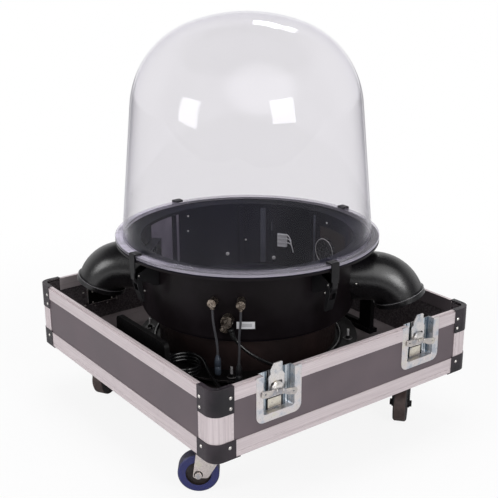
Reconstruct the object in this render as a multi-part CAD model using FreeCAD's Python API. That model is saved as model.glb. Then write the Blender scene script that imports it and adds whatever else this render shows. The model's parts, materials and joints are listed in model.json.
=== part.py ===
"""Weatherproof dome for a stage light, standing in the wheeled tray of its flight case.

A clear acrylic dome is clamped by four draw latches on a round black drum with two
downturned air elbows. The drum stands on rubber mounts in the open base of a flight case
with four swivel castors and four butterfly latches, two on the front and two on the back.

Frame: origin on the floor under the middle of the case, +Z up, -Y the front with the cable
side at its left, sizes in millimetres. Radial pieces are drawn at angle 0, on the +X axis,
and turned about +Z.
"""
import FreeCAD, Part
import math
import os

V = FreeCAD.Vector
X, Y, Z = V(1, 0, 0), V(0, 1, 0), V(0, 0, 1)

# ---------------------------------------------------------------- driving dimensions
RUNNING = 0.06          # radial clearance of a pin that turns in its hole
SEAT = 0.3              # gap between parts that move past each other

# castors
WHEEL_D = 100.0
WHEEL_W = 36.0
TYRE_BEVEL = 4.0
HUB_D = 74.0
HUB_W = 40.0
HUB_RIM_T, HUB_WEB_T = 6.0, 22.0
BOSS_D = 26.0
CASTOR_H = 140.0        # floor to the top of the mounting plate
TRAIL = 40.0            # swivel axis to wheel axle
CASTOR_IN_X = 98.0      # swivel axis inside the case's side
CASTOR_IN_Y = 134.5     # swivel axis inside the case's front and back
PLATE_L, PLATE_W, PLATE_T, PLATE_R = 105.0, 85.0, 3.5, 8.0
RACE_D, RACE_H, RACE_FLARE = 66.0, 11.0, 4.0
KINGPIN_D, KINGPIN_HEAD_D, KINGPIN_HEAD_T = 12.0, 20.0, 4.0
FORK_T, CROWN_T = 3.0, 5.0
FORK_AHEAD, FORK_BACK = 25.0, 44.0      # the crown's reach from the swivel axis
LEG_DEPTH = 8.0         # depth of a leg's upper corners below the crown
EYE_AHEAD, EYE_BACK, EYE_DROP = 23.0, 14.0, 9.0     # a leg's lower end about the axle
AXLE_D, AXLE_HEAD_D, AXLE_HEAD_T = 10.0, 17.0, 6.0
PEDAL_T = 3.0
PEDAL_BACK, PEDAL_DROP = 26.0, 7.0      # pedal's pivot behind the swivel, below the crown
PEDAL_REACH, PEDAL_EYE = 50.0, 5.0
SHOE_NEAR, SHOE_FAR = 12.0, 24.0        # brake shoe behind the pedal's pivot
SHOE_GAP = 3.0          # brake shoe above the tyre when the pedal is up
BOARD_T = 22.0          # wooden castor board
BOARD_L = 122.0
FORK_HEADINGS = {"fl": 143.0, "fr": 220.0, "bl": 30.0, "br": 20.0}   # where each wheel trails

# case tray
CASE_X = 824.0
CASE_Y = 853.0
CASE_H = 176.0
CORNER_R = 28.0
PANEL_T = 9.0
RAIL_T = 1.5
TOP_RAIL_H = 35.0
BOTTOM_RAIL_H = 42.0
RAIL_SHELF = 34.0       # bottom rail under the floor
GROOVE_W, GROOVE_D = 2.4, 0.8
GROOVE_RISE = 12.0      # groove above the bottom rail's lower edge
STEP_W, STEP_H = 3.5, 4.0       # ledge outside the lid tongue
WEB_H = 5.5
CORNER_LEG = 56.5
POST_GROOVES = (37.0, 47.0)     # upright grooves, from the corner's edge
DECK_T = 16.0
BRACKET_T = 1.5
TOP_BRACKET_LEG, TOP_BRACKET_H = 58.0, 64.0
BOTTOM_BRACKET_LEG, BOTTOM_BRACKET_H = 62.0, 45.0
LID_REACH = 12.0        # bottom bracket's lid past its wall, under the case
RIVET_D, RIVET_H = 9.0, 1.8
TOP_RIVET_INSET, TOP_RIVET_DROPS = 48.0, (25.0, 51.0)
BOTTOM_RIVET_INSET, BOTTOM_RIVET_RISE = 45.0, 29.0

# butterfly latches
LATCH_X = 228.0         # each side of the middle
DISH_W, DISH_H = 130.0, 117.0
DISH_T = 1.5
DISH_R = 20.0
POCKET_W, POCKET_H, POCKET_D = 90.0, 98.0, 17.0
CAM_DROP = 46.0         # latch axis below the top of the case
CAM_D, CAM_T = 34.0, 4.0
CAM_IN = 4.3            # edge of the disc's face inside the panel's skin
CAM_CROWN = 4.0         # how far the face is domed
ECCENTRIC = 6.0         # throw of the cam
ECCENTRIC_D = 18.0
HOOK_W, HOOK_T = 46.0, 3.0
HOOK_NOSE_W = 34.0
HOOK_RISE = 17.0        # nose above the top of the case
HOOK_TAIL = 8.0         # hook plate below the eccentric
HOOK_SHOULDER = 16.0    # where the hook plate narrows, below the top of the case
CLIP_W, CLIP_H = 11.0, 18.0     # clipped corner of the nose
WINDOW_SIDE, WINDOW_SLACK = 1.5, 2.0    # eccentric in its window, sideways and upright
WING_SPAN, WING_H, WING_T = 104.0, 15.5, 2.5    # height below the hinge
WING_TAIL = 1.5         # how far the wing reaches above its hinge
WING_GAP = 1.0          # wing in front of the dish's flange
WING_LEAN = 10.0        # how far it rests turned from level, right end down
LOBE_W, LOBE_R, LOBE_HOLE_D = 22.0, 7.0, 5.0
WAIST_RISE = 5.0        # wing's lower edge between its lobes, above theirs
WING_PIN_D = 3.0
BARREL_D = 5.0
LUG_X, LUG_T = 8.0, 3.0

# dome unit
MOUNT_RING_D = 550.0    # circle of the rubber mounts
MOUNT_ANGLES = (45, 135, 225, 315)
MOUNT_D, MOUNT_WAIST, MOUNT_H = 24.0, 3.0, 29.0
STUD_D, STUD_RISE = 7.0, 26.0
NUT_W, NUT_H, NUT_FLANGE_D, NUT_FLANGE_T = 13.0, 6.0, 24.0, 2.0
BASE_MARGIN, BASE_T = 25.0, 5.0         # base plate outside the circle of the mounts
PLINTH_IN, PLINTH_T = 35.0, 4.0         # plinth inside the circle of the mounts
DRUM_D, DRUM_T = 570.0, 4.0
DRUM_BASE_T = 5.0
DRUM_SOFT = 12.0        # rounding of the drum's bottom edge
RIM_D, RIM_T = 696.0, 7.0
GASKET_T, GASKET_IN = 2.0, 4.0
DOME_T = 5.0
DOME_FLANGE_T = 6.0
DOME_D = 658.0          # outside, at the flange
DOME_NECK_D = 592.0     # outside, where the crown begins
DOME_WALL_H = 347.5
DOME_CROWN_H = 223.5
DOME_TOP_R = 413.0      # radius of the crown's flat middle
PLINTH_H = 96.0
DRUM_H = 185.0          # underside of the drum to the underside of its rim
RIB_W, RIB_D = 14.0, 6.0
RIB_ANGLES = (12.0, 57.0, 102.0, 192.0, 237.0, 282.0)

# draw latches that hold the dome
CLAMP_ANGLES = {"right": 0.0, "back": 90.0, "left": 180.0, "front": 270.0}
STRAP_W, STRAP_T = 24.0, 3.0
EAR_T = 3.0
EAR_GAP = 0.5
BRACKET_DROP, BRACKET_TOE = 34.0, 8.0   # bracket's lower end below the pivot, and its depth
BRACKET_HEAD = 8.0      # bracket's upper end below the rim
PIN_WALL = 7.0          # metal around a pin
CRANK = 20.0            # lever pivot to hook pivot
CRANK_LEAN = 2.0        # small enough that the hook's pull runs past the lever's pivot
PIVOT_OUT = 10.0        # lever pivot inside the rim's edge
PIVOT_DROP = 37.0       # lever pivot below the rim
PIN_D = 5.0
HANDLE_L = 70.0
HANDLE_IN = 12.0        # handle's foot inside the lever pivot
WEB_DROP = 20.0         # where the handle's web starts, below the crank pin
TIP_IN = 17.0           # hook tip inside the rim's edge

# air elbows and fan
ELBOW_ANGLES = (135.0, -45.0)
ELBOW_D, ELBOW_T = 130.0, 4.0
ELBOW_BEND = 72.0       # centre line radius
ELBOW_SWEEP = 70.0      # degrees from the stub to the mouth
ELBOW_STUB = 52.0       # straight stretch outside the drum
ELBOW_DROP = 98.0       # centre line below the drum's rim
COLLAR_D, COLLAR_H, COLLAR_LIP = 138.0, 14.0, 2.0
GUARD_T, GUARD_BARS, GUARD_RING = 1.5, 7, 4.0
FAN_W, FAN_DEPTH, FAN_BORE = 119.0, 25.0, 113.0
FAN_HUB_D, FAN_BLADES = 42.0, 7
MOTOR_T, STRUT_W, STRUT_T = 6.0, 5.0, 3.0
BLADE_T, BLADE_CHORD, BLADE_PITCH, BLADE_TIP = 2.0, 30.0, 30.0, 1.5
FAN_ANGLE = ELBOW_ANGLES[0]

# cheeks that hold the unit sideways
CHEEKS = {-1: (26.0, -13.0), 1: (13.0, -32.0)}     # side: foot outside the plate, middle's Y
CHEEK_L, CHEEK_H, CHEEK_T = 236.0, 140.0, 14.0
CHEEK_POST, CHEEK_R = 44.0, 14.0
WINDOW_H = 74.0
FOOT_T, FOOT_H = 7.0, 12.0

# cable fittings and cords
GLAND_ANGLE, GLAND_DROP = -136.0, 122.0
GLAND_D, GLAND_OUT, GLAND_LEN = 30.0, 14.0, 28.0
GLAND_BOOT_D, GLAND_LEAN = 20.0, 20.0
SOCKETS = {"a": (-143.0, 78.0, 14.0), "b": (-129.5, 73.0, 28.0)}   # angle, drop, stand-off
SOCKET_D, SOCKET_BOOT_D, SOCKET_BOOT_L = 22.0, 11.0, 16.0
CORD_D = 9.0
LEAD_D = 6.0
LINE_PLUG_D, LINE_PLUG_L = 16.0, 52.0
COIL_X, COIL_Y = -283.0, -104.0
COIL_A, COIL_B, COIL_H = 44.0, 92.0, 27.0
COIL_BAND = 22.0
PLUG_D, PLUG_L = 30.0, 62.0
BLOCK_ANGLE, BLOCK_DROP = 34.6, 99.0
BLOCK_W, BLOCK_T, BLOCK_H = 26.0, 12.0, 38.0
CAP_ANGLE, CAP_DROP = -1.0, 100.0       # blanking cap on the inside of the drum
CAP_D, CAP_T, CAP_RING, CAP_RISE = 75.0, 5.0, 10.0, 4.0

# ---------------------------------------------------------------- derived levels
CASE_Z0 = CASTOR_H + BOARD_T
CASE_Z1 = CASE_Z0 + CASE_H
DECK_Z = CASE_Z0 + RAIL_T + PANEL_T + DECK_T
BASE_Z = DECK_Z + MOUNT_H
PLATE_TOP = BASE_Z + BASE_T
DRUM_Z0 = PLATE_TOP + PLINTH_H
RIM_Z0 = DRUM_Z0 + DRUM_H
RIM_Z1 = RIM_Z0 + RIM_T
FLANGE_Z0 = RIM_Z1 + GASKET_T
FLANGE_Z1 = FLANGE_Z0 + DOME_FLANGE_T
DOME_R = DOME_D / 2
DRUM_R = DRUM_D / 2
RIM_R = RIM_D / 2
MOUNT_R = MOUNT_RING_D / 2
BASE_R = MOUNT_R + BASE_MARGIN
PLINTH_R = MOUNT_R - PLINTH_IN


# ---------------------------------------------------------------- small tools
def box(x0, x1, y0, y1, z0, z1):
    return Part.makeBox(x1 - x0, y1 - y0, z1 - z0, V(x0, y0, z0))


def rod(diameter, start, end):
    """Round bar from one point to another."""
    return Part.makeCylinder(diameter / 2, (end - start).Length, start, end - start)


def ring(outer_d, inner_d, z0, z1):
    """Upright tube about the Z axis."""
    outside = Part.makeCylinder(outer_d / 2, z1 - z0, V(0, 0, z0))
    return outside.cut(Part.makeCylinder(inner_d / 2, z1 - z0, V(0, 0, z0)))


def outline(corners, place):
    """Closed wire through (p, q) or (p, q, radius) corners; place() maps p, q to a point."""
    points = [V(corner[0], corner[1], 0) for corner in corners]
    edges, starts, ends = [], [], []
    for index, corner in enumerate(corners):
        radius = corner[2] if len(corner) > 2 else 0
        here = points[index]
        if not radius:
            starts.append(here)
            ends.append(here)
            continue
        back = (points[index - 1] - here).normalize()
        ahead = (points[(index + 1) % len(points)] - here).normalize()
        half = back.getAngle(ahead) / 2
        middle = (back + ahead).normalize()
        starts.append(here + back * (radius / math.tan(half)))
        ends.append(here + ahead * (radius / math.tan(half)))
        crest = here + middle * (radius / math.sin(half) - radius)
        arc = Part.Arc(place(*starts[-1][:2]), place(*crest[:2]), place(*ends[-1][:2]))
        edges.append(arc.toShape())
    for index, end in enumerate(ends):
        start = starts[(index + 1) % len(starts)]
        if (start - end).Length > 1e-6:
            edges.append(Part.LineSegment(place(*end[:2]), place(*start[:2])).toShape())
    return Part.Wire(Part.__sortEdges__(edges))


def slab_y(corners, y0, y1):
    """Prism of an outline in X and Z, from y0 to y1."""
    face = Part.Face(outline(corners, lambda p, q: V(p, y0, q)))
    return face.extrude(V(0, y1 - y0, 0))


def slab_z(corners, z0, z1):
    """Prism of an outline in X and Y, from z0 to z1."""
    face = Part.Face(outline(corners, lambda p, q: V(p, q, z0)))
    return face.extrude(V(0, 0, z1 - z0))


def rectangle(x0, x1, y0, y1, radius=0):
    return [(x0, y0, radius), (x1, y0, radius), (x1, y1, radius), (x0, y1, radius)]


def turned(shape, degrees, centre=V(0, 0, 0), axis=Z):
    copy = shape.copy()
    copy.rotate(centre, axis, degrees)
    return copy


def moved(shape, x=0.0, y=0.0, z=0.0):
    copy = shape.copy()
    copy.translate(V(x, y, z))
    return copy


def polar(radius, degrees, z):
    angle = math.radians(degrees)
    return V(radius * math.cos(angle), radius * math.sin(angle), z)


def fuse(shapes):
    whole = shapes[0].multiFuse(shapes[1:]) if len(shapes) > 1 else shapes[0]
    return whole.removeSplitter()


def group(shapes):
    return Part.makeCompound(shapes)


def case_outline(grow):
    """The case's plan outline, grown outward, with its rounded corners."""
    x, y = CASE_X / 2 + grow, CASE_Y / 2 + grow
    return rectangle(-x, x, -y, y, CORNER_R + grow)


# ---------------------------------------------------------------- case tray
def quarter_turns(shape_for):
    """Pieces for the front, right, back and left sides, from shape_for(length, depth)."""
    sides = []
    for index in range(4):
        length, depth = (CASE_X, CASE_Y) if index % 2 == 0 else (CASE_Y, CASE_X)
        sides.append(turned(shape_for(length, depth / 2), 90 * index))
    return sides


def rail(section, length, half_depth):
    """Straight extrusion along the front, from a section of (depth inward, height)."""
    half = length / 2 - CORNER_LEG
    wire = outline(section, lambda p, q: V(-half, p - half_depth, q))
    return Part.Face(wire).extrude(V(2 * half, 0, 0))


def top_rail(length, half_depth):
    inner = 2 * RAIL_T + PANEL_T
    top, low = CASE_Z1, CASE_Z1 - TOP_RAIL_H
    section = [(0, low), (RAIL_T, low), (RAIL_T, top - WEB_H), (inner - RAIL_T, top - WEB_H),
               (inner - RAIL_T, low), (inner, low), (inner, top), (STEP_W, top),
               (STEP_W, top - STEP_H), (0, top - STEP_H)]
    return rail(section, length, half_depth)


def bottom_rail(length, half_depth):
    low, high, groove = CASE_Z0, CASE_Z0 + BOTTOM_RAIL_H, CASE_Z0 + GROOVE_RISE
    section = [(0, low), (RAIL_SHELF, low), (RAIL_SHELF, low + RAIL_T), (RAIL_T, low + RAIL_T),
               (RAIL_T, high), (0, high), (0, groove + GROOVE_W / 2), (GROOVE_D, groove),
               (0, groove - GROOVE_W / 2)]
    return rail(section, length, half_depth)


def corner_regions(leg, z0, z1, grow=0.0):
    """Boxes over the four corners, each reaching leg along both faces."""
    x, y = CASE_X / 2 + grow, CASE_Y / 2 + grow
    reach = leg + grow
    return [box(min(sx * x, sx * (x - reach)), max(sx * x, sx * (x - reach)),
                min(sy * y, sy * (y - reach)), max(sy * y, sy * (y - reach)), z0, z1)
            for sx in (-1, 1) for sy in (-1, 1)]


def corner_rails():
    z0, z1 = CASE_Z0, CASE_Z1 - STEP_H
    shell = slab_z(case_outline(0), z0, z1).cut(slab_z(case_outline(-RAIL_T), z0, z1))
    half = GROOVE_W / 2

    def grooves(length, depth):
        return [slab_z([(x - half, -depth - 1), (x - half, -depth), (x, GROOVE_D - depth),
                        (x + half, -depth), (x + half, -depth - 1)], z0, z1)
                for inset in POST_GROOVES for x in (inset - length / 2, length / 2 - inset)]

    shell = shell.cut([groove for side in range(4) for groove in
                       (turned(cut, 90 * side) for cut in
                        grooves(*((CASE_X, CASE_Y / 2) if side % 2 == 0 else
                                  (CASE_Y, CASE_X / 2))))])
    return [shell.common(region) for region in corner_regions(CORNER_LEG, z0, z1)]


def latch_places():
    """Where the four latches sit: the turn about Z and the place along the face."""
    return {"front_left": (0, -LATCH_X), "front_right": (0, LATCH_X),
            "back_left": (180, LATCH_X), "back_right": (180, -LATCH_X)}


def at_latch(shape, name):
    """Takes a shape drawn at x = 0 on the front face to its latch."""
    turn, along = latch_places()[name]
    return turned(moved(shape, x=along), turn)


def edge_rails():
    face = CASE_Y / 2
    pocket = POCKET_W / 2 + DISH_T + SEAT
    dish = DISH_W / 2 + SEAT
    past = CASE_Z1 + 1
    gap = box(-pocket, pocket, -face - 1, -face + 2 * RAIL_T + PANEL_T + 1, CASE_Z0 + CASE_H / 2, past)
    flange_gap = box(-dish, dish, -face - 1, -face + RAIL_T, CASE_Z0 + CASE_H / 2, past)
    cuts = [at_latch(cut, name) for name in latch_places() for cut in (gap, flange_gap)]
    tops = [side.cut(cuts) for side in quarter_turns(top_rail)]
    pieces = [solid for side in tops for solid in side.Solids]
    return group(pieces + quarter_turns(bottom_rail) + corner_rails())


def side_wall(x0, x1, y0, y1):
    z0, z1 = CASE_Z0 + RAIL_T, CASE_Z1 - WEB_H
    return box(x0, x1, y0, y1, z0, z1).common(slab_z(case_outline(-RAIL_T), z0, z1))


def latch_panels():
    outer, inner = CASE_Y / 2 - RAIL_T, CASE_Y / 2 - RAIL_T - PANEL_T
    half = CASE_X / 2 - RAIL_T
    notch = POCKET_W / 2 + DISH_T + SEAT
    low = CASE_Z1 - POCKET_H - DISH_T - SEAT
    slot = box(-notch, notch, -outer - 1, -inner + 1, low, CASE_Z1)
    cuts = [at_latch(slot, name) for name in latch_places()]
    walls = [side_wall(-half, half, -outer, -inner), side_wall(-half, half, inner, outer)]
    return group([wall.cut(cuts) for wall in walls])


def end_panels():
    outer, inner = CASE_X / 2 - RAIL_T, CASE_X / 2 - RAIL_T - PANEL_T
    half = CASE_Y / 2 - RAIL_T - PANEL_T
    return group([side_wall(-outer, -inner, -half, half), side_wall(inner, outer, -half, half)])


def case_floor():
    """The bottom panel with the deck board on it."""
    x, y = CASE_X / 2 - RAIL_T - PANEL_T, CASE_Y / 2 - RAIL_T - PANEL_T
    low = CASE_Z0 + RAIL_T
    return group([box(-x, x, -y, y, low, low + PANEL_T),
                  box(-x, x, -y, y, low + PANEL_T, DECK_Z)])


def corner_brackets():
    fold = 2 * RAIL_T + PANEL_T
    pieces = []
    for z0, z1, cap, leg, reach in (
            (CASE_Z1 - TOP_BRACKET_H, CASE_Z1, CASE_Z1, TOP_BRACKET_LEG, TOP_BRACKET_LEG),
            (CASE_Z0, CASE_Z0 + BOTTOM_BRACKET_H, CASE_Z0 - BRACKET_T, BOTTOM_BRACKET_LEG,
             BOTTOM_BRACKET_LEG + LID_REACH)):
        wall = slab_z(case_outline(BRACKET_T), z0, z1).cut(slab_z(case_outline(0), z0, z1))
        lid = slab_z(case_outline(BRACKET_T), cap, cap + BRACKET_T)
        lid = lid.cut(slab_z(case_outline(-fold), cap, cap + BRACKET_T))
        walls = corner_regions(leg, z0, z1, BRACKET_T)
        lids = corner_regions(reach, cap, cap + BRACKET_T, BRACKET_T)
        pieces += [fuse([wall.common(upright), lid.common(flat)])
                   for upright, flat in zip(walls, lids)]
    return group(pieces)


def bracket_rivets():
    """Low domed rivets, drawn on the front face and copied round the corners."""
    pieces = []
    places = [(TOP_RIVET_INSET, CASE_Z1 - drop) for drop in TOP_RIVET_DROPS]
    places.append((BOTTOM_RIVET_INSET, CASE_Z0 + BOTTOM_RIVET_RISE))
    for turn in range(4):
        length, depth = (CASE_X, CASE_Y) if turn % 2 == 0 else (CASE_Y, CASE_X)
        for inset, level in places:
            for along in (inset - length / 2, length / 2 - inset):
                head = Part.makeCone(RIVET_D / 2, RIVET_D / 4, RIVET_H,
                                     V(along, -depth / 2 - BRACKET_T, level), V(0, -1, 0))
                pieces.append(turned(head, 90 * turn))
    return group(pieces)


def cheek_plates():
    """Wooden cheeks with a hand window, each on a flared foot."""
    z1 = DECK_Z + CHEEK_H
    post, low = CHEEK_POST, DECK_Z + CHEEK_H - WINDOW_H - CHEEK_POST
    pieces = []
    for side, (gap, middle_y) in CHEEKS.items():
        y0, y1 = middle_y - CHEEK_L / 2, middle_y + CHEEK_L / 2
        plate = [(y0, DECK_Z), (y1, DECK_Z), (y1, z1, CHEEK_R), (y0, z1, CHEEK_R)]
        window = rectangle(y0 + post, y1 - post, low, z1 - post, CHEEK_R / 2)
        inner = side * (BASE_R + gap + FOOT_T + CHEEK_T / 2) - CHEEK_T / 2

        def place(p, q):
            return V(inner, p, q)

        plank = Part.Face(outline(plate, place)).extrude(V(CHEEK_T, 0, 0))
        hole = Part.Face(outline(window, place)).extrude(V(CHEEK_T, 0, 0))
        foot = box(inner - FOOT_T, inner + CHEEK_T + FOOT_T, y0 - FOOT_T, y1 + FOOT_T,
                   DECK_Z, DECK_Z + FOOT_H)
        pieces.append(fuse([plank.cut(hole), foot]))
    return group(pieces)


# ---------------------------------------------------------------- butterfly latches
FACE_Y = -CASE_Y / 2                    # outer face of the rails
SKIN_Y = FACE_Y + RAIL_T                # outer face of the panel, behind the dish's flange
POCKET_Y = SKIN_Y - DISH_T + POCKET_D   # inside of the pocket's back
CAM_Z = CASE_Z1 - CAM_DROP
WING_Y = SKIN_Y - DISH_T - WING_GAP - WING_T / 2    # hinge of the wing
CAM_Y = SKIN_Y + CAM_IN                 # edge of the cam disc's face
HOOK_Y = CAM_Y + CAM_T + SEAT           # front of the sliding hook


def latch_dish():
    low = CASE_Z1 - DISH_H
    half = DISH_W / 2
    flange = slab_y([(-half, low, DISH_R), (half, low, DISH_R), (half, CASE_Z1), (-half, CASE_Z1)],
                    SKIN_Y - DISH_T, SKIN_Y)
    inner, floor = POCKET_W / 2, CASE_Z1 - POCKET_H
    mouth = [(-inner, floor, 6), (inner, floor, 6), (inner, CASE_Z1 + 1), (-inner, CASE_Z1 + 1)]
    rim = inner + DISH_T
    tub = slab_y([(-rim, floor - DISH_T, 6 + DISH_T), (rim, floor - DISH_T, 6 + DISH_T),
                  (rim, CASE_Z1), (-rim, CASE_Z1)], SKIN_Y - DISH_T, POCKET_Y + DISH_T)
    dish = fuse([flange, tub]).cut(slab_y(mouth, SKIN_Y - DISH_T - 1, POCKET_Y))
    spindle_hole = rod(ECCENTRIC_D / 2 + 2 * RUNNING, V(0, POCKET_Y - 1, CAM_Z),
                       V(0, POCKET_Y + 2 * DISH_T, CAM_Z))
    return dish.cut(spindle_hole)


def leaning(shape):
    """Turns the wing or its lugs about the spindle to where they rest."""
    return turned(shape, WING_LEAN, V(0, 0, CAM_Z), Y)


def latch_cam():
    """Domed disc, eccentric and spindle that turn together, with the two lugs of the wing."""
    disc = rod(CAM_D, V(0, CAM_Y, CAM_Z), V(0, CAM_Y + CAM_T, CAM_Z))
    ball_r = (CAM_D ** 2 / 4 + CAM_CROWN ** 2) / (2 * CAM_CROWN)
    ball = Part.makeSphere(ball_r, V(0, CAM_Y - CAM_CROWN + ball_r, CAM_Z))
    face = ball.common(rod(CAM_D, V(0, CAM_Y - CAM_CROWN, CAM_Z), V(0, CAM_Y + CAM_T / 2, CAM_Z)))
    low = CAM_Z + ECCENTRIC
    cam = rod(ECCENTRIC_D, V(0, CAM_Y + CAM_T, low), V(0, HOOK_Y + HOOK_T + SEAT, low))
    spindle = rod(ECCENTRIC_D / 2, V(0, CAM_Y, CAM_Z), V(0, POCKET_Y + DISH_T, CAM_Z))
    reach, half = LUG_X + LUG_T, BARREL_D / 2
    lugs = [leaning(box(x, x + LUG_T, WING_Y - half, CAM_Y, CAM_Z - half, CAM_Z + half))
            for x in (-reach, LUG_X)]
    pin = leaning(rod(WING_PIN_D, V(-reach, WING_Y, CAM_Z), V(reach, WING_Y, CAM_Z)))
    return fuse([disc, face, cam, spindle, pin] + lugs)


def latch_hook():
    """Plate that the cam lifts; its nose stands above the case to catch the lid."""
    top, shoulder = CASE_Z1 + HOOK_RISE, CASE_Z1 - HOOK_SHOULDER
    low = CAM_Z + ECCENTRIC - ECCENTRIC_D / 2 - HOOK_TAIL
    half, nose = HOOK_W / 2, HOOK_NOSE_W / 2
    neck = shoulder + HOOK_SHOULDER / 2
    plate = slab_y([(-half, low, 5), (half, low, 5), (half, shoulder, 5), (nose, neck),
                    (nose, top, 3), (-nose + CLIP_W, top, 3), (-nose, top - CLIP_H, 4),
                    (-nose, neck), (-half, shoulder, 5)], HOOK_Y, HOOK_Y + HOOK_T)
    # The window lets the eccentric swing sideways; its slack takes up the cam's curved travel.
    side = ECCENTRIC + ECCENTRIC_D / 2 + WINDOW_SIDE
    slack = ECCENTRIC_D / 2 + WINDOW_SLACK
    window = slab_y(rectangle(-side, side, CAM_Z + ECCENTRIC - slack, CAM_Z + ECCENTRIC + slack, 4),
                    HOOK_Y - 1, HOOK_Y + HOOK_T + 1)
    reach = ECCENTRIC_D / 4 + WINDOW_SIDE
    spindle = slab_y(rectangle(-reach, reach, CAM_Z - reach, CAM_Z + ECCENTRIC + slack, 2),
                     HOOK_Y - 1, HOOK_Y + HOOK_T + 1)
    return plate.cut([window, spindle])


def latch_wing():
    """Butterfly handle that hangs folded on its pin and flips out to be turned."""
    half, top, low = WING_SPAN / 2, CAM_Z + WING_TAIL, CAM_Z - WING_H
    neck, waist = half - LOBE_W, low + WAIST_RISE
    front, back = WING_Y - WING_T / 2, WING_Y + WING_T / 2
    corners = [(half, top), (half, low), (neck, low), (neck / 2, waist),
               (-neck / 2, waist), (-neck, low), (-half, low), (-half, top)]
    plate = slab_y([(x, z, LOBE_R) for x, z in corners], front, back)
    holes = [rod(LOBE_HOLE_D, V(x, front - 1, (top + low) / 2), V(x, back + 1, (top + low) / 2))
             for x in (LOBE_W / 2 - half, half - LOBE_W / 2)]
    inside, outside = LUG_X - 0.4, LUG_X + LUG_T + 0.4
    barrel = rod(BARREL_D, V(-inside, WING_Y, CAM_Z), V(inside, WING_Y, CAM_Z))
    gaps = [box(x, x + outside - inside, WING_Y - 4, WING_Y + 4, CAM_Z - 4, CAM_Z + 4)
            for x in (-outside, inside)]
    bore = rod(WING_PIN_D + 2 * RUNNING, V(-outside, WING_Y, CAM_Z), V(outside, WING_Y, CAM_Z))
    return leaning(fuse([plate, barrel]).cut(holes + gaps + [bore]))


# ---------------------------------------------------------------- castors
AXLE_Z = WHEEL_D / 2
PLATE_Z = CASTOR_H - PLATE_T
RACE_Z = PLATE_Z - RACE_H
CROWN_Z = RACE_Z - SEAT - CROWN_T       # underside of the fork's crown
LEG_IN = HUB_W / 2 + SEAT               # inner face of a fork leg
PEDAL_PIVOT = (-PEDAL_BACK, CROWN_Z - PEDAL_DROP)   # along the fork from the swivel, height


def castor_places():
    x, y = CASE_X / 2 - CASTOR_IN_X, CASE_Y / 2 - CASTOR_IN_Y
    return {"fl": (-x, -y), "fr": (x, -y), "bl": (-x, y), "br": (x, y)}


def at_castor(shape, name):
    """Takes a shape drawn with its wheel trailing towards -X to its castor."""
    x, y = castor_places()[name]
    return moved(turned(shape, FORK_HEADINGS[name] - 180), x, y)


def castor_boards():
    half = BOARD_L / 2
    return group([box(x - half, x + half, y - half, y + half, CASTOR_H, CASE_Z0 + RAIL_T)
                  for x, y in castor_places().values()])


def castor_plates():
    """Mounting plate, ball race and kingpin of each castor."""
    half_l, half_w = PLATE_L / 2, PLATE_W / 2
    plate = slab_z(rectangle(-half_l, half_l, -half_w, half_w, PLATE_R), PLATE_Z, CASTOR_H)
    race = Part.makeCone(RACE_D / 2, RACE_D / 2 + RACE_FLARE, RACE_H, V(0, 0, RACE_Z))
    head_z = CROWN_Z - SEAT
    kingpin = rod(KINGPIN_D, V(0, 0, head_z), V(0, 0, RACE_Z))
    head = rod(KINGPIN_HEAD_D, V(0, 0, head_z - KINGPIN_HEAD_T), V(0, 0, head_z))
    whole = fuse([plate, race, kingpin, head])
    return group([moved(whole, x, y) for x, y in castor_places().values()])


def castor_fork(braked):
    """Pressed steel fork, its axle bolt through both legs."""
    outer, top, eye_z = LEG_IN + FORK_T, CROWN_Z + CROWN_T, AXLE_Z - EYE_DROP
    leg = [(-TRAIL - EYE_BACK, eye_z, 7), (-TRAIL + EYE_AHEAD, eye_z, 9),
           (FORK_AHEAD, CROWN_Z - LEG_DEPTH, 6), (FORK_AHEAD, top), (-FORK_BACK, top),
           (-FORK_BACK, CROWN_Z - LEG_DEPTH)]
    legs = [slab_y(leg, -outer, -LEG_IN), slab_y(leg, LEG_IN, outer)]
    crown = box(-FORK_BACK, FORK_AHEAD, -outer, outer, CROWN_Z, top)
    collar = rod(RACE_D - 2, V(0, 0, CROWN_Z), V(0, 0, top))
    parts = legs + [crown, collar]
    if braked:
        along, level = PEDAL_PIVOT
        parts.append(rod(PIN_D, V(along, -outer - 2, level), V(along, outer + 2, level)))
    fork = fuse(parts)
    fork = fork.cut(rod(KINGPIN_D + 2 * RUNNING, V(0, 0, CROWN_Z - 1), V(0, 0, top + 1)))
    head = outer + AXLE_HEAD_T
    axle = fuse([rod(AXLE_D, V(-TRAIL, -outer, AXLE_Z), V(-TRAIL, outer, AXLE_Z)),
                 rod(AXLE_HEAD_D, V(-TRAIL, -head, AXLE_Z), V(-TRAIL, -outer, AXLE_Z)),
                 rod(AXLE_HEAD_D, V(-TRAIL, outer, AXLE_Z), V(-TRAIL, head, AXLE_Z))])
    legs_bore = rod(AXLE_D, V(-TRAIL, -outer - 1, AXLE_Z), V(-TRAIL, outer + 1, AXLE_Z))
    return group([fork.cut(legs_bore), axle])


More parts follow.
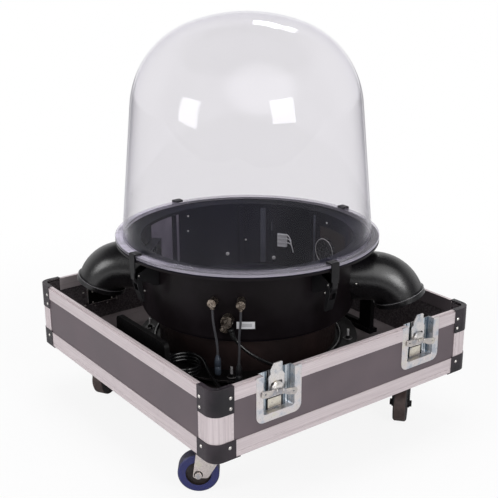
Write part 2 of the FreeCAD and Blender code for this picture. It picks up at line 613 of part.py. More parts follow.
def castor_wheel():
    """Bevelled tyre on a dished hub, as two solids."""
    tread, w, hub_r = WHEEL_D / 2, WHEEL_W / 2, HUB_D / 2
    centre = V(-TRAIL, 0, AXLE_Z)

    def revolved(section):
        """Solid about the axle, from (distance along it, radius) corners."""
        wire = outline(section, lambda p, q: centre + V(0, p, q))
        return Part.Face(wire).revolve(centre, Y, 360)

    side = w - TYRE_BEVEL
    tyre = revolved([(-w, hub_r), (-w, tread - TYRE_BEVEL), (-side, tread), (side, tread),
                     (w, tread - TYRE_BEVEL), (w, hub_r)])
    bore, boss, half = AXLE_D / 2 + RUNNING, BOSS_D / 2, HUB_W / 2
    web, rim = HUB_WEB_T / 2, hub_r - HUB_RIM_T
    hub = revolved([(-half, bore), (-half, boss), (-web, boss), (-web, rim), (-w, rim), (-w, hub_r),
                    (w, hub_r), (w, rim), (web, rim), (web, boss), (half, boss), (half, bore)])
    return group([tyre, hub])


def brake_pedal():
    """Rocking pedal: tread at the back, shoe above the tyre."""
    along, level = PEDAL_PIVOT
    half = LEG_IN - 2.0
    shoe, eye, tip = WHEEL_D + SHOE_GAP, PEDAL_EYE, along - PEDAL_REACH
    near, far = along - SHOE_NEAR, along - SHOE_FAR
    lever = slab_y([(tip, level - eye, 2), (tip, level + 1, 2), (along - eye, level + eye, 3),
                    (along + eye, level + eye, 3), (along + eye, level - eye, 3),
                    (near, level - eye), (near, shoe), (far, shoe), (far, level - eye + 1),
                    (tip + 2 * PEDAL_T, level - eye + PEDAL_T / 2)], -half, half)
    bore = rod(PIN_D + 2 * RUNNING, V(along, -half - 1, level), V(along, half + 1, level))
    return lever.cut(bore)


# ---------------------------------------------------------------- dome unit
def at_mounts(pieces):
    """Copies of pieces drawn about the Z axis at each rubber mount."""
    places = [polar(MOUNT_R, angle, 0) for angle in MOUNT_ANGLES]
    return [moved(piece, place.x, place.y) for place in places for piece in pieces]


def base_plate():
    plate = rod(2 * BASE_R, V(0, 0, BASE_Z), V(0, 0, PLATE_TOP))
    hole = rod(STUD_D + 2 * SEAT, V(0, 0, BASE_Z - 1), V(0, 0, PLATE_TOP + 1))
    return plate.cut(at_mounts([hole]))


def rubber_mounts():
    """Waisted rubber buffers under the base plate, bored for the studs."""
    bore, r, waist = STUD_D / 2 + SEAT, MOUNT_D / 2, MOUNT_D / 2 - MOUNT_WAIST
    section = [(bore, DECK_Z), (r, DECK_Z), (waist, DECK_Z + MOUNT_H / 2), (r, BASE_Z),
               (bore, BASE_Z)]
    buffer = Part.Face(outline(section, lambda p, q: V(p, 0, q))).revolve(V(0, 0, 0), Z, 360)
    return group(at_mounts([buffer]))


def mount_studs():
    """Stud and flanged nut of each rubber mount, as separate solids."""
    stud = rod(STUD_D, V(0, 0, DECK_Z), V(0, 0, PLATE_TOP + STUD_RISE))
    flange = rod(NUT_FLANGE_D, V(0, 0, PLATE_TOP), V(0, 0, PLATE_TOP + NUT_FLANGE_T))
    corner = NUT_W / math.sqrt(3)
    corners = [polar(corner, 60 * k, 0) for k in range(6)]
    low = PLATE_TOP + NUT_FLANGE_T
    nut = fuse([flange, slab_z([(p.x, p.y) for p in corners], low, low + NUT_H)])
    return group(at_mounts([stud, nut.cut(stud)]))


def plinth():
    return ring(2 * PLINTH_R, 2 * (PLINTH_R - PLINTH_T), PLATE_TOP, DRUM_Z0)


def elbow_z():
    return RIM_Z0 - ELBOW_DROP


def drum():
    """Moulded drum: soft-edged base, ribbed wall and wide rim, ported for the elbows."""
    inner = DRUM_R - DRUM_T
    floor = DRUM_Z0 + DRUM_BASE_T
    section = [(0, DRUM_Z0), (DRUM_R, DRUM_Z0, DRUM_SOFT), (DRUM_R, RIM_Z0), (RIM_R, RIM_Z0),
               (RIM_R, RIM_Z1), (inner, RIM_Z1), (inner, floor), (0, floor)]
    wire = outline(section, lambda p, q: V(p, 0, q))
    shell = Part.Face(wire).revolve(V(0, 0, 0), Z, 360)
    ribs = [turned(box(inner - RIB_D, inner + DRUM_T / 2, -RIB_W / 2, RIB_W / 2, floor, RIM_Z0), a)
            for a in RIB_ANGLES]
    ports = [turned(rod(ELBOW_D - 2 * ELBOW_T, V(inner - 2 * RIB_D, 0, elbow_z()),
                        V(DRUM_R + DRUM_T, 0, elbow_z())), a) for a in ELBOW_ANGLES]
    return fuse([shell] + ribs).cut(ports)


def gasket():
    return ring(RIM_D - GASKET_IN, DOME_D - 2 * GASKET_IN, RIM_Z1, FLANGE_Z0)


def dome():
    """Clear dome: flat flange, leaning wall, round shoulder and flatter top."""
    neck, neck_z = DOME_NECK_D / 2, FLANGE_Z0 + DOME_WALL_H
    lean = math.atan2(DOME_R - neck, neck_z - FLANGE_Z1)
    out = V(math.cos(lean), 0, math.sin(lean))      # square to the wall
    top_z = neck_z + DOME_CROWN_H
    top_centre = V(0, 0, top_z - DOME_TOP_R)
    # The shoulder's arc is tangent to the wall and to the arc over the top.
    rise = DOME_TOP_R - DOME_CROWN_H
    radius = ((neck ** 2 + rise ** 2 - DOME_TOP_R ** 2)
              / (2 * (neck * out.x + rise * out.z - DOME_TOP_R)))
    centre = V(neck, 0, neck_z) - out * radius
    ahead = (centre - top_centre).normalize()
    middle = (out + ahead).normalize()
    high = (Z + ahead).normalize()

    def crown(depth):
        """The shoulder and the top, depth inside the outer face."""
        inside, over = radius - depth, DOME_TOP_R - depth
        join = centre + ahead * inside
        return [Part.Arc(centre + out * inside, centre + middle * inside, join).toShape(),
                Part.Arc(join, top_centre + high * over, top_centre + Z * over).toShape()]

    foot = (neck_z - DOME_T * out.z - FLANGE_Z0) * math.tan(lean)
    under = V(neck, 0, neck_z) - out * DOME_T
    path = [under, V(under.x + foot, 0, FLANGE_Z0), V(RIM_R, 0, FLANGE_Z0),
            V(RIM_R, 0, FLANGE_Z1), V(DOME_R, 0, FLANGE_Z1), V(neck, 0, neck_z)]
    edges = [Part.LineSegment(a, b).toShape() for a, b in zip(path, path[1:])]
    edges += crown(0) + crown(DOME_T)
    edges.append(Part.LineSegment(V(0, 0, top_z), V(0, 0, top_z - DOME_T)).toShape())
    wire = Part.Wire(Part.__sortEdges__(edges))
    return Part.Face(wire).revolve(V(0, 0, 0), Z, 360)


# ---------------------------------------------------------------- draw latches of the dome
PIVOT_R = RIM_R - PIVOT_OUT
PIVOT_Z = RIM_Z0 - PIVOT_DROP
CRANK_R = PIVOT_R + CRANK * math.sin(math.radians(CRANK_LEAN))
CRANK_Z = PIVOT_Z - CRANK * math.cos(math.radians(CRANK_LEAN))
STRAP_R = RIM_R + 2.0                   # inner face of the hook's strap
LEVER_HALF = STRAP_W / 2                # outer faces of the lever's ears
NECK_HALF = LEVER_HALF - EAR_T - EAR_GAP
BRACKET_HALF = LEVER_HALF + EAR_GAP     # inner faces of the bracket's cheeks


def clamp_bracket():
    """Channel on the drum, with a stub pivot in each cheek."""
    wall, nose = DRUM_R + SEAT, PIVOT_R + PIN_WALL
    low, high = PIVOT_Z - BRACKET_DROP, RIM_Z0 - BRACKET_HEAD
    cheek = [(wall, low), (wall + BRACKET_TOE, low), (nose, PIVOT_Z - PIN_WALL, 4),
             (nose, PIVOT_Z + PIN_WALL, 6), (wall + 1.5 * BRACKET_TOE, high), (wall, high)]
    outer = BRACKET_HALF + EAR_T
    cheeks = [slab_y(cheek, -outer, -BRACKET_HALF), slab_y(cheek, BRACKET_HALF, outer)]
    web = box(wall, wall + EAR_T, -outer, outer, low, high)
    stub = [rod(PIN_D, V(PIVOT_R, s * NECK_HALF + s * EAR_GAP, PIVOT_Z),
                V(PIVOT_R, s * (outer + 2), PIVOT_Z)) for s in (-1, 1)]
    return fuse(cheeks + [web] + stub)


def clamp_brackets():
    bracket = clamp_bracket()
    return group([turned(bracket, a) for a in CLAMP_ANGLES.values()])


def clamp_lever():
    """Handle whose ears hold the crank pin below the pivot."""
    half, inner = LEVER_HALF, NECK_HALF + EAR_GAP
    out, eye = CRANK_R + PIN_WALL, PIN_WALL - 1.0
    foot_r, foot_z = PIVOT_R - HANDLE_IN, PIVOT_Z - HANDLE_L
    ear = [(PIVOT_R - eye, PIVOT_Z + eye, 5), (PIVOT_R + eye, PIVOT_Z + eye, 5),
           (out, CRANK_Z - PIN_D, 3), (foot_r + 2 * STRAP_T, foot_z, 2), (foot_r, foot_z, 2),
           (CRANK_R - PIN_WALL, CRANK_Z - PIN_WALL, 4)]
    ears = [slab_y(ear, -half, -inner), slab_y(ear, inner, half)]
    web_z = CRANK_Z - WEB_DROP
    slope = (foot_r + 2 * STRAP_T - out) / (CRANK_Z - PIN_D - foot_z)
    web_r = out + slope * (WEB_DROP - PIN_D)
    web = slab_y([(web_r, web_z), (foot_r + 2 * STRAP_T, foot_z), (foot_r + STRAP_T, foot_z),
                  (web_r - STRAP_T, web_z)], -half, half)
    pin = rod(PIN_D, V(CRANK_R, -half, CRANK_Z), V(CRANK_R, half, CRANK_Z))
    bores = rod(PIN_D + 2 * RUNNING, V(PIVOT_R, -half - 1, PIVOT_Z), V(PIVOT_R, half + 1, PIVOT_Z))
    return fuse(ears + [web, pin]).cut(bores)


def clamp_hook():
    """Strap from the crank pin, over the rim's edge, to a tip on the dome's flange."""
    seat = FLANGE_Z1 + SEAT
    tip = RIM_R - TIP_IN
    outer = STRAP_R + STRAP_T
    neck_z = CRANK_Z + CRANK + 12
    strap = [(STRAP_R, neck_z - 2), (outer, neck_z - 2), (outer, seat + 6, 3.2), (tip, seat + 6, 1.5),
             (tip, seat), (tip + STRAP_T, seat), (tip + 8, seat + 3), (STRAP_R, seat + 3, 0.8)]
    wide = slab_y(strap, -STRAP_W / 2, STRAP_W / 2)
    neck = slab_y([(CRANK_R - 4, CRANK_Z - 4, 3.5), (CRANK_R + 4, CRANK_Z - 4, 3.5),
                   (outer, CRANK_Z + 12, 3), (outer, neck_z), (STRAP_R, neck_z),
                   (STRAP_R, CRANK_Z + 14, 3), (CRANK_R - 4, CRANK_Z + 5, 3.5)], -NECK_HALF, NECK_HALF)
    bore = rod(PIN_D + 2 * RUNNING, V(CRANK_R, -NECK_HALF - 1, CRANK_Z),
               V(CRANK_R, NECK_HALF + 1, CRANK_Z))
    return fuse([wide, neck]).cut(bore)


# ---------------------------------------------------------------- elbows, guards and fan
ELBOW_END = DRUM_R + ELBOW_STUB         # where the bend starts


def at_mouth(shape):
    """Takes a shape drawn about the Z axis, out of the mouth downward, to the elbow's end."""
    sweep = math.radians(ELBOW_SWEEP)
    tilted = turned(shape, ELBOW_SWEEP - 90, axis=Y)
    return moved(tilted, x=ELBOW_END + ELBOW_BEND * math.sin(sweep),
                 z=elbow_z() - ELBOW_BEND * (1 - math.cos(sweep)))


def elbow():
    """Downturned tube with a collar at its mouth, cut to sit on the drum."""
    z = elbow_z()

    def swept(diameter, reach):
        """Stub, bend and the last straight stretch, as solid bars."""
        stub = rod(diameter, V(DRUM_R - 2 * DRUM_T, 0, z), V(ELBOW_END, 0, z))
        disc = Part.Face(Part.Wire(Part.makeCircle(diameter / 2, V(ELBOW_END, 0, z), X)))
        bend = disc.revolve(V(ELBOW_END, 0, z - ELBOW_BEND), Y, ELBOW_SWEEP)
        return [stub, bend, at_mouth(rod(diameter, V(0, 0, 0), V(0, 0, -reach)))]

    lip = COLLAR_H - COLLAR_LIP
    collar = at_mouth(rod(COLLAR_D, V(0, 0, COLLAR_LIP), V(0, 0, -lip)))
    body = fuse(swept(ELBOW_D, lip + COLLAR_LIP) + [collar])
    body = body.cut(swept(ELBOW_D - 2 * ELBOW_T, lip + COLLAR_LIP + 1))
    return body.cut(Part.makeCylinder(DRUM_R, 2 * ELBOW_D, V(0, 0, z - ELBOW_D)))


def elbows():
    piece = elbow()
    return group([turned(piece, a) for a in ELBOW_ANGLES])


def mouth_guards():
    """Barred guard inside each mouth."""
    inner = ELBOW_D - 2 * ELBOW_T - 2 * SEAT
    half, edge = inner / 2, GUARD_T / 2
    disc = rod(inner - 1, V(0, 0, -2 * GUARD_T), V(0, 0, 0))
    hoop = ring(inner, inner - 2 * GUARD_RING, -2 * GUARD_T, 0)
    pitch = inner / (GUARD_BARS + 1)
    bars = []
    for index in range(GUARD_BARS):
        at = (index + 1) * pitch - half
        bars.append(box(-half, half, at - edge, at + edge, -2 * GUARD_T, -GUARD_T).common(disc))
        bars.append(box(at - edge, at + edge, -half, half, -GUARD_T, 0).common(disc))
    guard = at_mouth(fuse([hoop] + bars))
    return group([turned(guard, a) for a in ELBOW_ANGLES])


FAN_OUT = math.sqrt((DRUM_R - DRUM_T) ** 2 - (FAN_W / 2) ** 2) - SEAT   # side next to the drum
FAN_IN = FAN_OUT - FAN_DEPTH


def fan_housing():
    """Square axial fan frame: bore, motor seat on three struts, and its shaft."""
    z = elbow_z()
    half = FAN_W / 2
    frame = box(FAN_IN, FAN_OUT, -half, half, z - half, z + half)
    frame = frame.cut(rod(FAN_BORE, V(FAN_IN - 1, 0, z), V(FAN_OUT + 1, 0, z)))
    motor = rod(FAN_HUB_D, V(FAN_IN, 0, z), V(FAN_IN + MOTOR_T, 0, z))
    shaft = rod(PIN_D, V(FAN_IN, 0, z), V(FAN_OUT - STRUT_T, 0, z))
    strut = box(FAN_IN, FAN_IN + STRUT_T, -STRUT_W / 2, STRUT_W / 2, z, z + FAN_BORE / 2 + 2)
    struts = [turned(strut, 120 * k, V(0, 0, z), X) for k in range(3)]
    return turned(fuse([frame, motor, shaft] + struts), FAN_ANGLE)


def fan_rotor():
    z = elbow_z()
    start, end = FAN_IN + MOTOR_T + SEAT, FAN_OUT - 2
    hub = rod(FAN_HUB_D, V(start, 0, z), V(end, 0, z))
    sweep = rod(FAN_BORE - 2 * BLADE_TIP, V(start, 0, z), V(end, 0, z))
    middle, low = (start + end) / 2, z + FAN_HUB_D / 2 - BLADE_T
    blades = []
    for index in range(FAN_BLADES):
        blade = box(middle - BLADE_T / 2, middle + BLADE_T / 2, -BLADE_CHORD / 2, BLADE_CHORD / 2,
                    low, z + FAN_BORE / 2)
        blade = turned(blade, BLADE_PITCH, V(middle, 0, z), Z)
        blades.append(turned(blade, 360 / FAN_BLADES * index, V(middle, 0, z), X).common(sweep))
    rotor = fuse([hub] + blades)
    bore = rod(PIN_D + 2 * RUNNING, V(start - 1, 0, z), V(end + 1, 0, z))
    return turned(rotor.cut(bore), FAN_ANGLE)


# ---------------------------------------------------------------- fittings and cords
def bent_tube(points, diameter, name):
    """Tube along straight runs joined by tangent arcs, as large as the runs allow."""
    edges, start = [], points[0]
    radii = []
    for before, here, after in zip(points, points[1:], points[2:]):
        back, ahead = (before - here), (after - here)
        shorter = min(back.Length, ahead.Length)
        turn = math.pi - back.getAngle(ahead)
        radius = 0.45 * shorter / math.tan(turn / 2)
        radii.append(radius)
        back.normalize()
        ahead.normalize()
        cut = 0.45 * shorter
        first, last = here + back * cut, here + ahead * cut
        bisector = (back + ahead).normalize()
        crest = here + bisector * (radius / math.cos(turn / 2) - radius)
        edges.append(Part.LineSegment(start, first).toShape())
        edges.append(Part.Arc(first, crest, last).toShape())
        start = last
    edges.append(Part.LineSegment(start, points[-1]).toShape())
    path = Part.Wire(edges)
    direction = points[1] - points[0]
    disc = Part.Wire(Part.makeCircle(diameter / 2, points[0], direction))
    tube = path.makePipeShell([disc], True, False)
    ideal = math.pi * diameter ** 2 / 4 * path.Length
    print(f"{name}: length {path.Length:.0f} mm, tightest radius {min(radii):.0f} mm, "
          f"volume {tube.Volume / ideal:.4f} of ideal")
    return tube


def angle_fitting(angle, level, body_d, stand_off, boot_d, boot_len, lean=0.0):
    """Round body on the drum's wall with a cable boot that points down, leaning sideways."""
    out = DRUM_R + stand_off
    body = rod(body_d, V(DRUM_R - 1, 0, level), V(out + boot_d / 2 + 1.5, 0, level))
    boot = rod(boot_d, V(out, 0, level), V(out, 0, level - boot_len))
    boot = turned(boot, lean, V(out, 0, level), V(-1, 0, 0))
    fitting = fuse([body, boot]).cut(Part.makeCylinder(DRUM_R + SEAT, 100, V(0, 0, level - 50)))
    return turned(fitting, angle)


def cable_fittings():
    pieces = [angle_fitting(GLAND_ANGLE, RIM_Z0 - GLAND_DROP, GLAND_D, GLAND_OUT, GLAND_BOOT_D,
                            GLAND_LEN, GLAND_LEAN)]
    for angle, drop, stand_off in SOCKETS.values():
        pieces.append(angle_fitting(angle, RIM_Z0 - drop, SOCKET_D, stand_off, SOCKET_BOOT_D,
                                    SOCKET_BOOT_L))
    return group(pieces + [blanking_cap()])


def seat_inside(width):
    """Distance from the axis of a flat back, width wide, against the drum's inner wall."""
    return math.sqrt((DRUM_R - DRUM_T) ** 2 - (width / 2) ** 2) - SEAT


def blanking_cap():
    """Round cap with a raised ring, on the inside of the drum's wall."""
    back, level = seat_inside(CAP_D), RIM_Z0 - CAP_DROP
    front = back - CAP_T
    disc = rod(CAP_D, V(back, 0, level), V(front, 0, level))
    raised = rod(CAP_D, V(front, 0, level), V(front - CAP_RISE, 0, level))
    raised = raised.cut(rod(CAP_D - 2 * CAP_RING, V(front, 0, level),
                            V(front - CAP_RISE, 0, level)))
    return turned(fuse([disc, raised]), CAP_ANGLE)


def gland_mouth(reach=GLAND_LEN):
    """Point on the gland's leaning boot, reach away from its elbow."""
    lean = math.radians(GLAND_LEAN)
    out, side = DRUM_R + GLAND_OUT, reach * math.sin(lean)
    point = V(out, side, RIM_Z0 - GLAND_DROP - reach * math.cos(lean))
    return turned(Part.Vertex(point), GLAND_ANGLE).Point


def lead_points(name):
    """Hand-chosen points of a hanging signal lead: (radius, angle, height) below its boot."""
    angle, drop, stand_off = SOCKETS[name]
    top = RIM_Z0 - drop - SOCKET_BOOT_L
    r = DRUM_R + stand_off
    if name == "a":
        hang = [(r, angle, top), (r, angle, top - 26), (r + 3, angle + 1.4, top - 62),
                (r + 1, angle + 2.3, top - 98), (r, angle + 2.2, top - 120)]
    else:
        hang = [(r, angle, top), (r, angle, top - 28), (r + 2, angle - 0.9, top - 66),
                (r + 1, angle - 0.6, top - 104), (r, angle - 1.0, top - 138)]
    return [polar(*point) for point in hang]


def signal_lead(name):
    return bent_tube(lead_points(name), LEAD_D, "lead_" + name)


def line_plugs():
    """Tapered in-line connectors at the ends of the signal leads."""
    pieces = []
    for name in SOCKETS:
        top = lead_points(name)[-1]
        body = rod(LINE_PLUG_D, top - Z * 14, top - Z * LINE_PLUG_L)
        boot = Part.makeCone(LINE_PLUG_D / 2, LEAD_D / 2 + 1, 14, top - Z * 14)
        pieces.append(fuse([body, boot]))
    return group(pieces)


LAY_Z = PLATE_TOP + CORD_D / 2 + SEAT       # cord lying on the base plate


def power_route():
    """Gland, down the drum, round the plinth on the base plate, and into the coil."""
    r = DRUM_R + GLAND_OUT
    points = [gland_mouth(), gland_mouth(GLAND_LEN + 24), polar(r + 1, -127.4, 305),
              polar(r - 1, -121.5, 282), polar(r - 8, -114.0, 258), polar(r - 22, -104.0, 238),
              polar(r - 36, -91.0, LAY_Z)]
    wrap, start, turn = PLINTH_R + 17.0, -91.0, 18.0
    points += [polar(wrap, start + turn * k, LAY_Z) for k in range(1, 15)]
    points += [V(-255, 20, LAY_Z + 2), V(-259, -40, LAY_Z + 4)]
    return points


def power_tail():
    """From the coil's front end, over the base plate's edge and down to the plug on the deck."""
    z, plug_z = LAY_Z, DECK_Z + PLUG_D / 2
    return [V(-252, -150, z + 11), V(-250, -192, z + 4), V(-247, -232, z - 14),
            V(-232, -268, DECK_Z + 10), V(-206, -298, DECK_Z + 9), V(-170, -318, plug_z - 2),
            V(-132, -326, plug_z + SEAT)]


def power_cord():
    return group([bent_tube(power_route(), CORD_D, "power cord"),
                  bent_tube(power_tail(), CORD_D, "power cord tail")])


def cord_coil():
    """Closed outer shape of the loosely wound spare cord."""
    z0 = PLATE_TOP + SEAT

    def oval(a, b):
        return Part.Face(Part.Wire(Part.Ellipse(V(COIL_X, COIL_Y + b, z0), V(COIL_X + a, COIL_Y, z0),
                                                V(COIL_X, COIL_Y, z0)).toShape()))

    outer = oval(COIL_A, COIL_B).extrude(Z * COIL_H)
    return outer.cut(oval(COIL_A - COIL_BAND, COIL_B - COIL_BAND).extrude(Z * COIL_H))


def power_plug():
    start = power_tail()[-1]
    ahead = (start - power_tail()[-2])
    ahead.z = 0
    ahead.normalize()
    boot = Part.makeCone(CORD_D / 2 + 1, PLUG_D / 2 - 2, 20, start, ahead)
    body = rod(PLUG_D, start + ahead * 20, start + ahead * PLUG_L)
    return fuse([boot, body])


def terminal_block():
    """Block on the drum's inner wall, where the light's wires are joined."""
    level, back = RIM_Z0 - BLOCK_DROP, seat_inside(BLOCK_W)
    block = box(back - BLOCK_T, back, -BLOCK_W / 2, BLOCK_W / 2, level - BLOCK_H / 2,
                level + BLOCK_H / 2)
    return turned(block, BLOCK_ANGLE)


# ---------------------------------------------------------------- all nodes
def build_parts():
    parts = {
        "case_floor": case_floor(),
        "latch_panels": latch_panels(),
        "end_panels": end_panels(),
        "edge_rails": edge_rails(),
        "corner_brackets": corner_brackets(),
        "bracket_rivets": bracket_rivets(),
        "cheek_plates": cheek_plates(),
        "latch_dishes": group([at_latch(latch_dish(), name) for name in latch_places()]),
        "castor_boards": castor_boards(),
        "castor_plates": castor_plates(),
        "base_plate": base_plate(),
        "rubber_mounts": rubber_mounts(),
        "mount_studs": mount_studs(),
        "plinth": plinth(),
        "drum": drum(),
        "gasket": gasket(),
        "dome": dome(),
        "clamp_brackets": clamp_brackets(),
        "elbows": elbows(),
        "mouth_guards": mouth_guards(),
        "fan_housing": fan_housing(),
        "fan_rotor": fan_rotor(),
        "cable_fittings": cable_fittings(),
        "terminal_block": terminal_block(),
        "signal_lead_a": signal_lead("a"),
        "signal_lead_b": signal_lead("b"),
        "line_plugs": line_plugs(),
        "power_cord": power_cord(),
        "cord_coil": cord_coil(),
        "power_plug": power_plug(),
    }
    for name in latch_places():
        parts[f"latch_cam_{name}"] = at_latch(latch_cam(), name)
        parts[f"latch_hook_{name}"] = at_latch(latch_hook(), name)
        parts[f"latch_wing_{name}"] = at_latch(latch_wing(), name)
    for name, angle in CLAMP_ANGLES.items():
        parts[f"clamp_lever_{name}"] = turned(clamp_lever(), angle)
        parts[f"clamp_hook_{name}"] = turned(clamp_hook(), angle)
    for name in castor_places():
        parts[f"castor_fork_{name}"] = at_castor(castor_fork(name in ("fr", "br")), name)
        parts[f"castor_wheel_{name}"] = at_castor(castor_wheel(), name)
    for name in ("fr", "br"):
        parts[f"brake_pedal_{name}"] = at_castor(brake_pedal(), name)
    return parts


os.makedirs("parts", exist_ok=True)
for node, shape in build_parts().items():
    shape.exportStep(f"parts/{node}.step")
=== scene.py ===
"""Looks for a clear weather dome on a black drum, standing in the tray of its flight case.

Metres, +Z up, -Y the front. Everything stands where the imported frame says.
"""
import json
import math

import bmesh
import bpy
from mathutils import Matrix, Vector


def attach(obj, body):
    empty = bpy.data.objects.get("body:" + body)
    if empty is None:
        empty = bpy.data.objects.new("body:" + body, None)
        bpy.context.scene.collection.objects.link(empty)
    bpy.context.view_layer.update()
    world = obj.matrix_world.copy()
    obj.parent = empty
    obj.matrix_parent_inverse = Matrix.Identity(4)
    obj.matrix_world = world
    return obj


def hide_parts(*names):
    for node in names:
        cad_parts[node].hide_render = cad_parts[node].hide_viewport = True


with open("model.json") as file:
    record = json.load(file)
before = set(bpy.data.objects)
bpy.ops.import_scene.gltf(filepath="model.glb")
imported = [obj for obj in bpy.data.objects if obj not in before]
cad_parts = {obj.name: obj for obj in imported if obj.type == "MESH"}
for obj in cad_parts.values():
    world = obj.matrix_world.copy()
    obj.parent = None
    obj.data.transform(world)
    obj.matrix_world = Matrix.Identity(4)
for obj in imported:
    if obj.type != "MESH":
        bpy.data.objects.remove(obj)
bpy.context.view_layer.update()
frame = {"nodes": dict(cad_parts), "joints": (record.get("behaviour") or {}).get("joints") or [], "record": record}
nodes = frame["nodes"]
joints = {joint["name"]: joint for joint in frame["joints"]}
MM = 0.001

# ---------------------------------------------------------------- camera
CAMERA_AT = Vector((-1.438, -1.937, 1.283))
CAMERA_AIM = Vector((0.00577, 0.0, 0.46346))
CAMERA_ROLL = math.radians(-0.2)
SENSOR, LENS = 36.0, 68.86      # mm


def make_camera():
    camera = bpy.data.objects.new("camera", bpy.data.cameras.new("camera"))
    bpy.context.scene.collection.objects.link(camera)
    camera.data.sensor_width, camera.data.lens = SENSOR, LENS
    camera.data.clip_start, camera.data.clip_end = 0.05, 60.0
    camera.location = CAMERA_AT
    aim = (CAMERA_AIM - CAMERA_AT).to_track_quat("-Z", "Y").to_matrix().to_4x4()
    camera.matrix_world = Matrix.Translation(CAMERA_AT) @ aim @ Matrix.Rotation(CAMERA_ROLL, 4, "Z")
    bpy.context.scene.camera = camera


make_camera()


# ---------------------------------------------------------------- where the looks change, in m
PANEL_SKIN_X, PANEL_SKIN_Y = 0.4095, 0.4245     # the panels' laminate lies outside these
POST_HEIGHTS = (0.196, 0.304)                   # bare stretch of the corner posts
POST_X, POST_Y = 0.361, 0.3755                  # where the corner posts begin
RAIL_IN_X, RAIL_IN_Y = 0.4005, 0.4145           # the rails' inner sides, painted in shade, lie within both
DRUM_WALL, FITTING_WALL = 0.2825, 0.2805        # radii that part outside from inside
RIM_FACE = 0.5095                               # the rim's top lies above it
LATCH_X = 0.228                                 # each side of the middle
POCKET_HALF, POCKET_LOW = 0.0449, 0.2401        # the latch dishes' pockets
DISH_BACK_Y, POCKET_FACE_Y = 0.4083, 0.4096     # towards the tray, where dishes are painted in shade, and towards the outside
REFLECTION_FROM, SHADOW_FROM = 0.024, 0.019             # either side of a pocket's middle: painted reflection, and painted shadow just inside it
NUT_HEIGHTS = (0.2243, 0.2308)                  # of the mount studs
THREAD_WAVES, RING_WAVES = 6283.0, 830.0        # radians per metre
FLANGE_TOP, FLANGE_EDGE = 0.5192, 0.3466        # of the dome
HUB_RADIUS, TREAD_FROM, TREAD_TO = 0.031, 0.0478, 0.0495     # from the wheel's axle


# ---------------------------------------------------------------- shader nodes
def srgb(r, g, b):
    """Linear colour of an 8-bit screen colour."""
    def linear(v):
        v /= 255
        return v / 12.92 if v <= 0.04045 else ((v + 0.055) / 1.055) ** 2.4
    return (linear(r), linear(g), linear(b), 1.0)


class Tree:
    """A node tree, with short calls for the nodes used here, fed by values or sockets."""

    def __init__(self, tree):
        self.tree = tree

    def feed(self, socket, value):
        if isinstance(value, bpy.types.NodeSocket):
            self.tree.links.new(value, socket)
        else:
            socket.default_value = value

    def add(self, kind, **inputs):
        node = self.tree.nodes.new(kind)
        for key, value in inputs.items():
            self.feed(node.inputs[key.replace("_", " ")], value)
        return node

    def math(self, operation, a, b=0.0):
        node = self.tree.nodes.new("ShaderNodeMath")
        node.operation = operation
        self.feed(node.inputs[0], a)
        self.feed(node.inputs[1], b)
        return node.outputs[0]

    def plus(self, a, b):
        return self.math("ADD", a, b)

    def minus(self, a, b):
        return self.math("SUBTRACT", a, b)

    def times(self, a, b):
        return self.math("MULTIPLY", a, b)

    def above(self, value, limit):
        return self.math("GREATER_THAN", value, limit)

    def below(self, value, limit):
        return self.math("LESS_THAN", value, limit)

    def within(self, value, low, high):
        return self.times(self.above(value, low), self.below(value, high))

    def vector(self, operation, a, b=None):
        node = self.tree.nodes.new("ShaderNodeVectorMath")
        node.operation = operation
        self.feed(node.inputs[0], a)
        if b is not None:
            self.feed(node.inputs[1], b)
        return node.outputs["Value" if operation in ("DOT_PRODUCT", "LENGTH") else "Vector"]

    def mix(self, share, a, b):
        """A colour between a and b."""
        node = self.tree.nodes.new("ShaderNodeMix")
        node.data_type = "RGBA"
        self.feed(node.inputs[0], share)
        self.feed(node.inputs[6], a)
        self.feed(node.inputs[7], b)
        return node.outputs[2]

    def choose(self, share, a, b):
        """A number between a and b."""
        node = self.tree.nodes.new("ShaderNodeMix")
        self.feed(node.inputs[0], share)
        self.feed(node.inputs[2], a)
        self.feed(node.inputs[3], b)
        return node.outputs[0]

    def blend(self, share, a, b):
        """A shader between a and b."""
        node = self.add("ShaderNodeMixShader", Fac=share)
        self.feed(node.inputs[1], a)
        self.feed(node.inputs[2], b)
        return node.outputs[0]

    def ramp(self, value, low, high, start=0.0, end=1.0):
        node = self.tree.nodes.new("ShaderNodeMapRange")
        node.interpolation_type = "SMOOTHSTEP"
        for key, number in (("Value", value), ("From Min", low), ("From Max", high),
                            ("To Min", start), ("To Max", end)):
            self.feed(node.inputs[key], number)
        return node.outputs[0]


